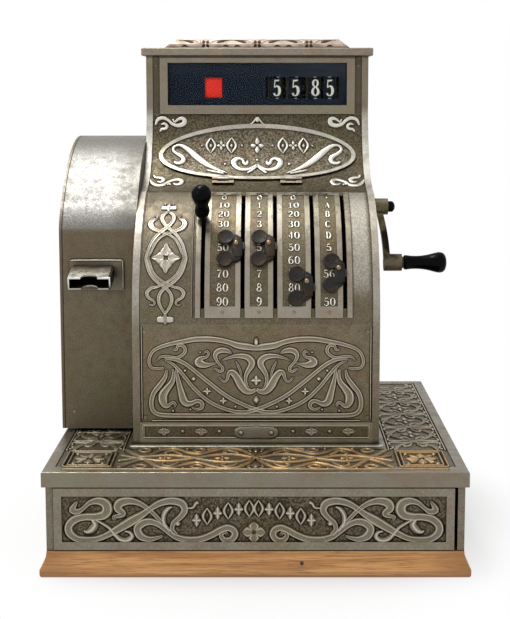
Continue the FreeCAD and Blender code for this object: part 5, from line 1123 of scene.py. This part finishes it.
def small_plate_ends():
    """Lobed ends and two screws on the small bare plate in the band."""
    r = Relief(Front(SMALL_PLATE_Y), 1.0, profile=FLAT)
    r.mirror = 0.0
    r.span([(0, 124.2, 6.9), (-14, 124.2, 6.9), (-18.6, 124.2, 6.6), (-20.4, 124.2, 5.0), (-22.2, 124.2, 4.6),
            (-24.4, 124.2, 2.6)])
    ends = r.piece("small_plate_with_lobed_ends", "plain", slot="nickel")
    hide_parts("small_plate")
    r = Relief(Front(SMALL_PLATE_Y - 1.0), 0.8, profile=ROUND)
    r.mirror = 0.0
    r.dome(-17, 124.2, 2.4)
    r.piece("small_plate_screws", "band_relief", slot="nickel")


def crest_ornament():
    """Leaf pairs along the crest: pale rounded lobes with dark pieces between them, painted shade in the open hollows,
    and small knots.
    """
    bevel = Slope(CREST_Y, 563.4, 45)
    pale = Relief(bevel, 0.7, profile=ROUND, pace=0.8, sink=0.3)
    # The dark pieces are painted shade in the crest's open hollows.
    dark = Relief(bevel, 0.15, profile=FLAT, pace=0.8, sink=0.1)
    low = Relief(Front(CREST_Y), 0.15, profile=FLAT, pace=0.8, sink=0.1)
    for relief in (pale, dark, low):
        relief.mirror, relief.skirt = 0.0, 0.0
    lobe = [(0, 6.9, .7), (10, 7.2, .9), (20, 6.4, 1.1), (25, 4.0, 1.2), (26.5, 1.0, 1.0)]
    for centre, way in ((-32, -1), (-32, 1), (-97, 1)):
        dark.stroke(placed([(4, 6.4, .5), (9, 5.2, 1.5), (14.5, 3.4, 2.0), (18, 2.4, 1.2)], centre, 0, way))
        low.stroke(placed([(3.5, 560.2, .4), (7, 561.3, 1.1), (11, 560.4, .4)], centre, 0, way))
        pale.stroke(placed(lobe, centre, 0, way))
    for knot in (-64, 0, 64):
        dark.stroke(placed([(-3.4, .6, 1.6), (-2.2, 3.4, 2.0), (-3.2, 6.2, .8)], knot, 0))
        low.stroke(placed([(-4.2, 559.4, .9), (-2.4, 561.4, 1.9), (-2.2, 563.0, 1.4)], knot, 0))
    pale.piece("crest_leaves", "bead", slot="copper_worn_nickel")
    dark.piece("crest_upper_hollow_shade", "hollow", slot="copper_worn_nickel")
    low.piece("crest_lower_hollow_shade", "hollow", slot="copper_worn_nickel")


def window_pane():
    """The window's glass, a hair thinner than its solid, so that it doesn't touch the mask behind it."""
    low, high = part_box("window_glass")
    front_gap, back_gap = 0.1 * MM, 0.5 * MM
    low, high = low + Vector((0, front_gap, 0)), high - Vector((0, back_gap, 0))
    made = bmesh.new()
    bmesh.ops.create_cube(made, size=1.0)
    for corner in made.verts:
        corner.co = low + (corner.co + Vector((0.5, 0.5, 0.5))) * (high - low)
    pane = solid("window_pane", made, "glass")
    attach(pane, "root")
    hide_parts("window_glass")


def arc_height(y, axis, radius, way):
    """How high the upper (1) or lower (-1) half of a circle about an axis stands at this Y."""
    return axis[1] + way * math.sqrt(radius ** 2 - (y - axis[0]) ** 2)


def ticket_box_inner_wall():
    """The thin wall that closes the ticket box above the hollow of the cabinet's side."""
    left, right, overlap = -139.2, -138.0, 8.0
    made = bmesh.new()
    rings = []
    for y in np.linspace(-36.0, 88.0, 32):
        top = arc_height(y, (14.9, 332.7), 58.6, 1) if y < -22 else arc_height(y, (129.1, 249.0), 198.6, 1)
        foot = min(arc_height(y, KEY_AXIS, KEY_RADIUS, 1), arc_height(y, HEAD_AXIS, HEAD_RADIUS, -1)) - overlap
        corners = ((left, foot), (right, foot), (right, top), (left, top))
        rings.append([made.verts.new(Vector((x, y, z)) * MM) for x, z in corners])
    for one, two in zip(rings, rings[1:]):
        for n in range(4):
            made.faces.new((one[n], one[(n + 1) % 4], two[(n + 1) % 4], two[n]))
    made.faces.new(rings[0][::-1])
    made.faces.new(rings[-1])
    wall = solid("ticket_box_inner_wall", made, "box")
    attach(wall, "root")


def window_post_screws():
    """A tiny screw at the top of each sunk post beside the window."""
    r = Relief(Front(WINDOW_FRAME_Y), 0.7, profile=ROUND)
    r.mirror, r.skirt = 0.0, 0.0
    r.dome(-125.4, 536.5, 1.5)
    r.piece("window_post_screws", "plain", slot="nickel")


def chute_lines():
    """Bright lines along the top and right edges of the chute's flange: painted highlights, with a dark skirt of
    painted shade.
    """
    r = Relief(Front(CHUTE_Y), 0.5, profile=ROUND, pace=1.5, sink=0.2)
    r.skirt = 0.5
    r.stroke([(-213.2, 312.4, .7), (-190, 312.6, .7), (-160, 312.6, .7), (-154.4, 312.0, .7), (-153.2, 309, .7),
              (-153.1, 298, .6), (-153.1, 280, .5)])
    r.piece("chute_flange_painted_highlight", "head_relief", slot="nickel")


def plate_corner(r):
    """A framed square in a front corner: a wide-petalled flower with a small one in each corner."""
    u, v = 178, -153
    for inset in (0, 4.6):
        left, right, low, top = 152.5 + inset, 203.5 - inset, -180.5 + inset, -125.5 - inset
        corners = ((left, low), (right, low), (right, top), (left, top), (left, low))
        for (a, b), (c, d) in zip(corners, corners[1:]):
            r.stroke([(a, b, 1.2), ((a + c) / 2, (b + d) / 2, 1.2), (c, d, 1.2)], profile=ROUND)
    r.petals(u, v, 17, 18, 5.4, hole=3)
    for across, up in ((1, 1), (1, -1), (-1, 1), (-1, -1)):
        r.stroke(placed([(3.4, 3.4, .6), (9, 9.4, 2.4), (12.4, 13, .8)], u, v, across, up), profile=ROUND)
        r.dome(u + across * 15.6, v + up * 17.2, 2.5)


def plate_front(r):
    """Ribbons that cross at the middle and near the ends, scalloped along both edges, with rings and leaves."""
    mid = -151
    ribbons = ([(0, -2, 1.9), (9, 16, 2.0), (20, 29, 2.1), (34, 31.5, 2.1), (48, 24, 2.0), (62, 14, 2.0),
                (76, 20, 2.0), (90, 31, 2.1), (104, 26, 2.0), (113, 13, 2.0), (122, 4, 1.9), (133, 13, 2.0),
                (144, 29, 1.6)], [(4, 3, 1.1), (24, 12, 1.5), (46, 9.5, 1.6), (70, -2, 1.6), (92, -9, 1.6),
                                  (112, -6, 1.5), (130, 1, 1.4), (147, 9, 1.0)])
    leaves = ([(19, 16, .8), (24, 22, 1.9), (31, 26, 2.0), (36, 20, 1.6), (31, 16, .9)],
              [(80, 11, .8), (86, 19, 1.9), (92, 25, 2.0), (99, 19, 1.6), (97, 12, .9)])
    ring = [(0, 20, 1.2), (6.5, 25.5, 1.5), (0, 31.5, 1.4), (-6.5, 25.5, 1.5)]
    tips = ([(41, 31.5, .7), (48, 31.5, 1.5), (54, 27.5, .8)], [(5, 31.5, .8), (8, 27, 1.6), (5.5, 21, .8)])
    for way in (1.13, -1.13):
        for points in ribbons:
            r.stroke(placed(points, 0, mid, up=way))
        for points in leaves:
            r.stroke(placed(points, 0, mid, up=way), profile=ROUND)
        for u in (62, 122):
            r.stroke(placed(ring, u, mid, up=way), closed=True, profile=ROUND)
        for points in tips:
            r.stroke(placed(points, 0, mid, up=way), profile=ROUND)
        r.dome(0, mid + way * 25, 3.4, tall=1.9, sides=4)
        r.dome(76, mid + way * 30.5, 1.8)
        r.dome(106, mid + way * 31, 1.8)
    r.petals(36, mid, 9, 6.5, 2.2, hole=1.5)
    r.petals(98, mid, 8, 5.5, 2.0, hole=1.5)
    r.dome(62, mid, 3.0, tall=1.5, sides=4)
    r.stroke([(-203, -189.4, 1.2), (0, -189.4, 1.2), (203, -189.4, 1.2)], profile=ROUND, once=True)


def plate_side(r):
    """Ribbons up each side that cross every half wave, about four-petalled flowers and bell-shaped leaf pairs."""
    mid, first, last, half_wave = 177.5, -118.0, 184.0, 58.5
    centres = (-87, -28.5, 30, 88.5, 147)
    leaves = ([(5, 2.5, .8), (13, 4, 2.3), (23, 2.6, 2.8), (28.5, 5.5, 2.2), (28, 13, 1.3)],
              [(3, 7, .8), (5, 13, 1.8), (9.5, 17.5, 2.4), (13.5, 14.5, 2.0), (11.8, 11.2, 1.2)],
              [(28.6, 17, .8), (25.6, 23, 2.0), (29, 29, 1.2)])
    for way in (1, -1):
        ribbon = []
        for n in range(21):
            v = first + (last - first) * n / 20
            swing = math.sin(math.pi * (v - centres[0]) / half_wave)
            ribbon.append((mid + way * 23.5 * swing, v, 2.3))
        r.stroke(ribbon)
        for centre in centres:
            for up in (1, -1):
                if first + 8 < centre + up * 20 < last - 4:
                    for points in leaves:
                        r.stroke(placed(points, mid, centre, way, up), profile=ROUND)
    for v in (-57.8, 0.8, 59.2, 117.8):
        r.petals(mid, v, 11.5, 12.5, 3.8, hole=2.2)
    for v in centres:
        r.dome(mid - 22, v, 1.8)
        r.dome(mid + 22, v, 1.8)
    for u in (146.4, 208.6):
        r.stroke([(u, -120, 1.2), (u, 30, 1.2), (u, 186, 1.2)], profile=ROUND)


def plate_box_bead(r):
    """The bead that closes the left field in front of the ticket box."""
    r.stroke([(-208, -50, 1.4), (-176, -50, 1.4), (-146, -50, 1.4)], profile=ROUND, once=True)


def plate_back_strip(r):
    """The strip behind the cabinet is left plain: a bead closes it."""
    r.stroke([(-208, 186.6, 1.2), (0, 186.6, 1.2), (208, 186.6, 1.2)], profile=ROUND, once=True)


def cover_plate_ornament():
    """All the ornament on top of the cover plate: its sides, its front and the rim at the cabinet's foot."""
    sides = Relief(Level(PLATE_TOP), 1.3, profile=RIDGED, pace=1.6)
    sides.mirror, sides.swell, sides.skirt = 0.0, 0.95, 1.0
    plate_side(sides)
    plate_back_strip(sides)
    plate_box_bead(sides)
    sides.piece("cover_plate_side_scrollwork", "side_relief", slot="nickel")
    front = Relief(Level(PLATE_TOP), 2.2, profile=RIDGED, pace=1.6)
    front.mirror, front.swell, front.skirt = 0.0, 1.15, 0.9
    plate_corner(front)
    plate_front(front)
    front.piece("cover_plate_front_scrollwork", "front_relief", slot="nickel")
    rim = Relief(Level(PLATE_RIM_TOP), 0.9, profile=FLAT, pace=4.0)
    rim.skirt = 0.3
    rim.stroke([(-141, -106.6, 2.6), (0, -106.6, 2.6), (141, -106.6, 2.6)])
    rim.piece("cover_plate_inner_rim", "head_relief", slot="nickel")


# ---------------------------------------------------------------- turned pieces, finger tabs, drums and screws


def turned(name, profile, start, along, look, body):
    """A solid turned about a line: the profile gives (distance along it, radius) in millimetres."""
    along = Vector(along).normalized()
    across = along.orthogonal().normalized()
    third = along.cross(across)
    sides = 48
    made = bmesh.new()
    points = smooth(np.array([(a, r, 1.0) for a, r in profile]), False, 0.9)
    rings = []
    for a, r, _ in points:
        r = max(r, 0.02)
        rings.append([made.verts.new((Vector(start) + along * a
                                      + (across * math.cos(t) + third * math.sin(t)) * r) * MM)
                      for t in (math.tau * n / sides for n in range(sides))])
    for one, two in zip(rings, rings[1:]):
        for n in range(sides):
            m = (n + 1) % sides
            made.faces.new((one[n], one[m], two[m], two[n])).smooth = True
    made.faces.new(rings[0][::-1])
    made.faces.new(rings[-1])
    thing = solid(name, made, look)
    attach(thing, body)
    return thing


def flag_knob():
    """The black pear-shaped knob of the flag lever, in place of its plain solid."""
    low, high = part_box("lever_knob")
    middle = (low + high) / 2 / MM - Vector((1.8, 0, 0))
    pivot = Vector((middle.x, *KEY_AXIS))
    along = (middle - pivot).normalized()
    profile = [(153.6, 3.0), (154.2, 5.4), (156.5, 7.6), (160.5, 8.5), (164.5, 8.3), (168.5, 7.5), (173, 7.7),
               (178, 9.2), (183.5, 10.8), (188.5, 11.1), (192.8, 9.9), (196.2, 7.2), (198.4, 3.5), (198.8, 0.4)]
    knob = turned("flag_knob", profile, pivot, along, "black", "lever_flag")
    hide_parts("lever_knob")


def crank_handle():
    """The swelling black grip and its collar, in place of the plain grip."""
    low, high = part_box("crank_grip")
    axis = Vector((low.x / MM, (low.y + high.y) / 2 / MM, (low.z + high.z) / 2 / MM))
    profile = [(0.1, 7.0), (0.5, 8.3), (2.6, 8.9), (5, 8.6), (9, 8.1), (15, 7.9), (22, 8.3), (30, 9.6), (37, 11.4),
               (42.5, 12.5), (47, 11.9), (50, 9.2), (51.5, 5.0), (52, 0.4)]
    grip = turned("crank_handle_grip", profile, axis, (1, 0, 0), "black", "crank_handle")
    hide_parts("crank_grip")
    turned("crank_handle_collar", [(-2.0, 3.6), (-2.0, 6.4), (-1.6, 6.9), (-0.4, 6.9), (0, 6.4), (0, 3.6)], axis,
           (1, 0, 0), "crank", "crank")


# Each lever's slot across the keyboard, the row it rests on, and how far its tabs sit aside and above that row
SLOTS = {"flag": -59.8, "first": -15.2, "second": 21.2, "third": 63.4, "fourth": 98.9}
REST_ROWS = {"first": 5, "second": 5, "third": 8, "fourth": 7}
TAB_SHIFTS = {"first": 3.0, "second": 0.6, "third": 3.0, "fourth": 3.0}
TAB_DROPS = {"first": -2.6, "second": -2.4, "third": 1.2, "fourth": 0.0}
# Each drum's place across the window, and the figure that it shows at rest
DRUMS = {"first": (23.7, 5), "second": (46.9, 5), "third": (71.9, 8), "fourth": (89.9, 7)}


def finger_tabs():
    """Two dished discs on a dark bracket, with a brass stud, at the end of each lever."""
    names = list(SLOTS)
    for n, name in enumerate(names):
        if name == "flag":
            continue
        slot = SLOTS[name]
        centre = (SLOTS[names[n - 1]] + slot) / 2 + TAB_SHIFTS[name]
        reach = KEY_RADIUS + 6.5
        r = Relief(Round(KEY_AXIS, reach, -1), 1.5, profile=FLAT, sink=1.0)
        r.skirt = 0
        middle = reach * row_angle(REST_ROWS[name]) + TAB_DROPS[name]
        edge = slot + 0.2
        for way in (1, -1):
            v = middle + way * 13.6
            r.disc(centre - (0.8 if way < 0 else 0), v, 9.2)
            r.stroke([(centre + 5.5, v, 4.2), (edge - 8, v - way * 1.6, 4.2), (edge - 4.4, v - way * 4.4, 4.4)],
                     height=1.2)
        r.stroke([(edge - 5, middle - 11.6, 4.2), (edge - 6, middle - 5, 5.8), (edge - 6.2, middle, 6.2),
                  (edge - 6, middle + 5, 5.8), (edge - 5, middle + 11.6, 4.2)], height=1.9)
        tabs = r.piece("finger_tabs_pair_" + name, "bronze", body="lever_" + name, slot="dark_bronze")
        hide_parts("finger_tabs_" + name)
        stud = Relief(Round(KEY_AXIS, reach, -1), 4.2, profile=ROUND, sink=0.5)
        stud.skirt = 0
        stud.dome(edge - 7.4, middle + 5.2, 3.4)
        stud.piece("finger_tab_stud_" + name, "brass", body="lever_" + name, slot="brass")


def drum_figures():
    """Ten cream figures round each drum, and coloured fields round the flag drum."""
    for name, (u, front) in DRUMS.items():
        r = Relief(Round(DRUM_AXIS, DRUM_RADIUS, -1), 0.25, pace=0.8, sink=0.15)
        r.skirt = 0
        swapped = {5: 7, 7: 5} if name == "fourth" else {}
        for figure in range(10):
            v = -DRUM_RADIUS * math.radians(FIGURE_STEP * (figure - front))
            r.write(str(swapped.get(figure, figure)), u + 0.6, v, 21.0, face_width=0.42, bold=0.9, height=0.25)
        r.piece("drum_figures_" + name, "cream", body="drum_" + name, slot="drum_enamel")
    for n, look in enumerate(("flag_red", "cream", "flag_green", "flag_red", "cream", "flag_green")):
        r = Relief(Round(DRUM_AXIS, DRUM_RADIUS, -1), 0.3, profile=FLAT, sink=0.15)
        r.skirt = 0
        v = DRUM_RADIUS * math.radians(60 * n)
        r.stroke([(-54.6, v - 13.4, 10.9), (-54.6, v, 10.9), (-54.6, v + 13.4, 10.9)])
        r.piece("flag_field_%d" % (n + 1), look, body="drum_flag", slot="drum_enamel")


make_camera()
make_studio()
dress_nodes()
lower_panel_scrolls()
keyboard_ornament()
keyboard_lines()
strip_figures()
head_corner_scrolls()
head_finial()
lid_ornament()
drawer_ornament()
band_lozenges()
small_plate_ends()
crest_ornament()
window_pane()
ticket_box_inner_wall()
window_post_screws()
chute_lines()
cover_plate_ornament()
flag_knob()
crank_handle()
finger_tabs()
drum_figures()
scene.view_settings.view_transform = "Standard"
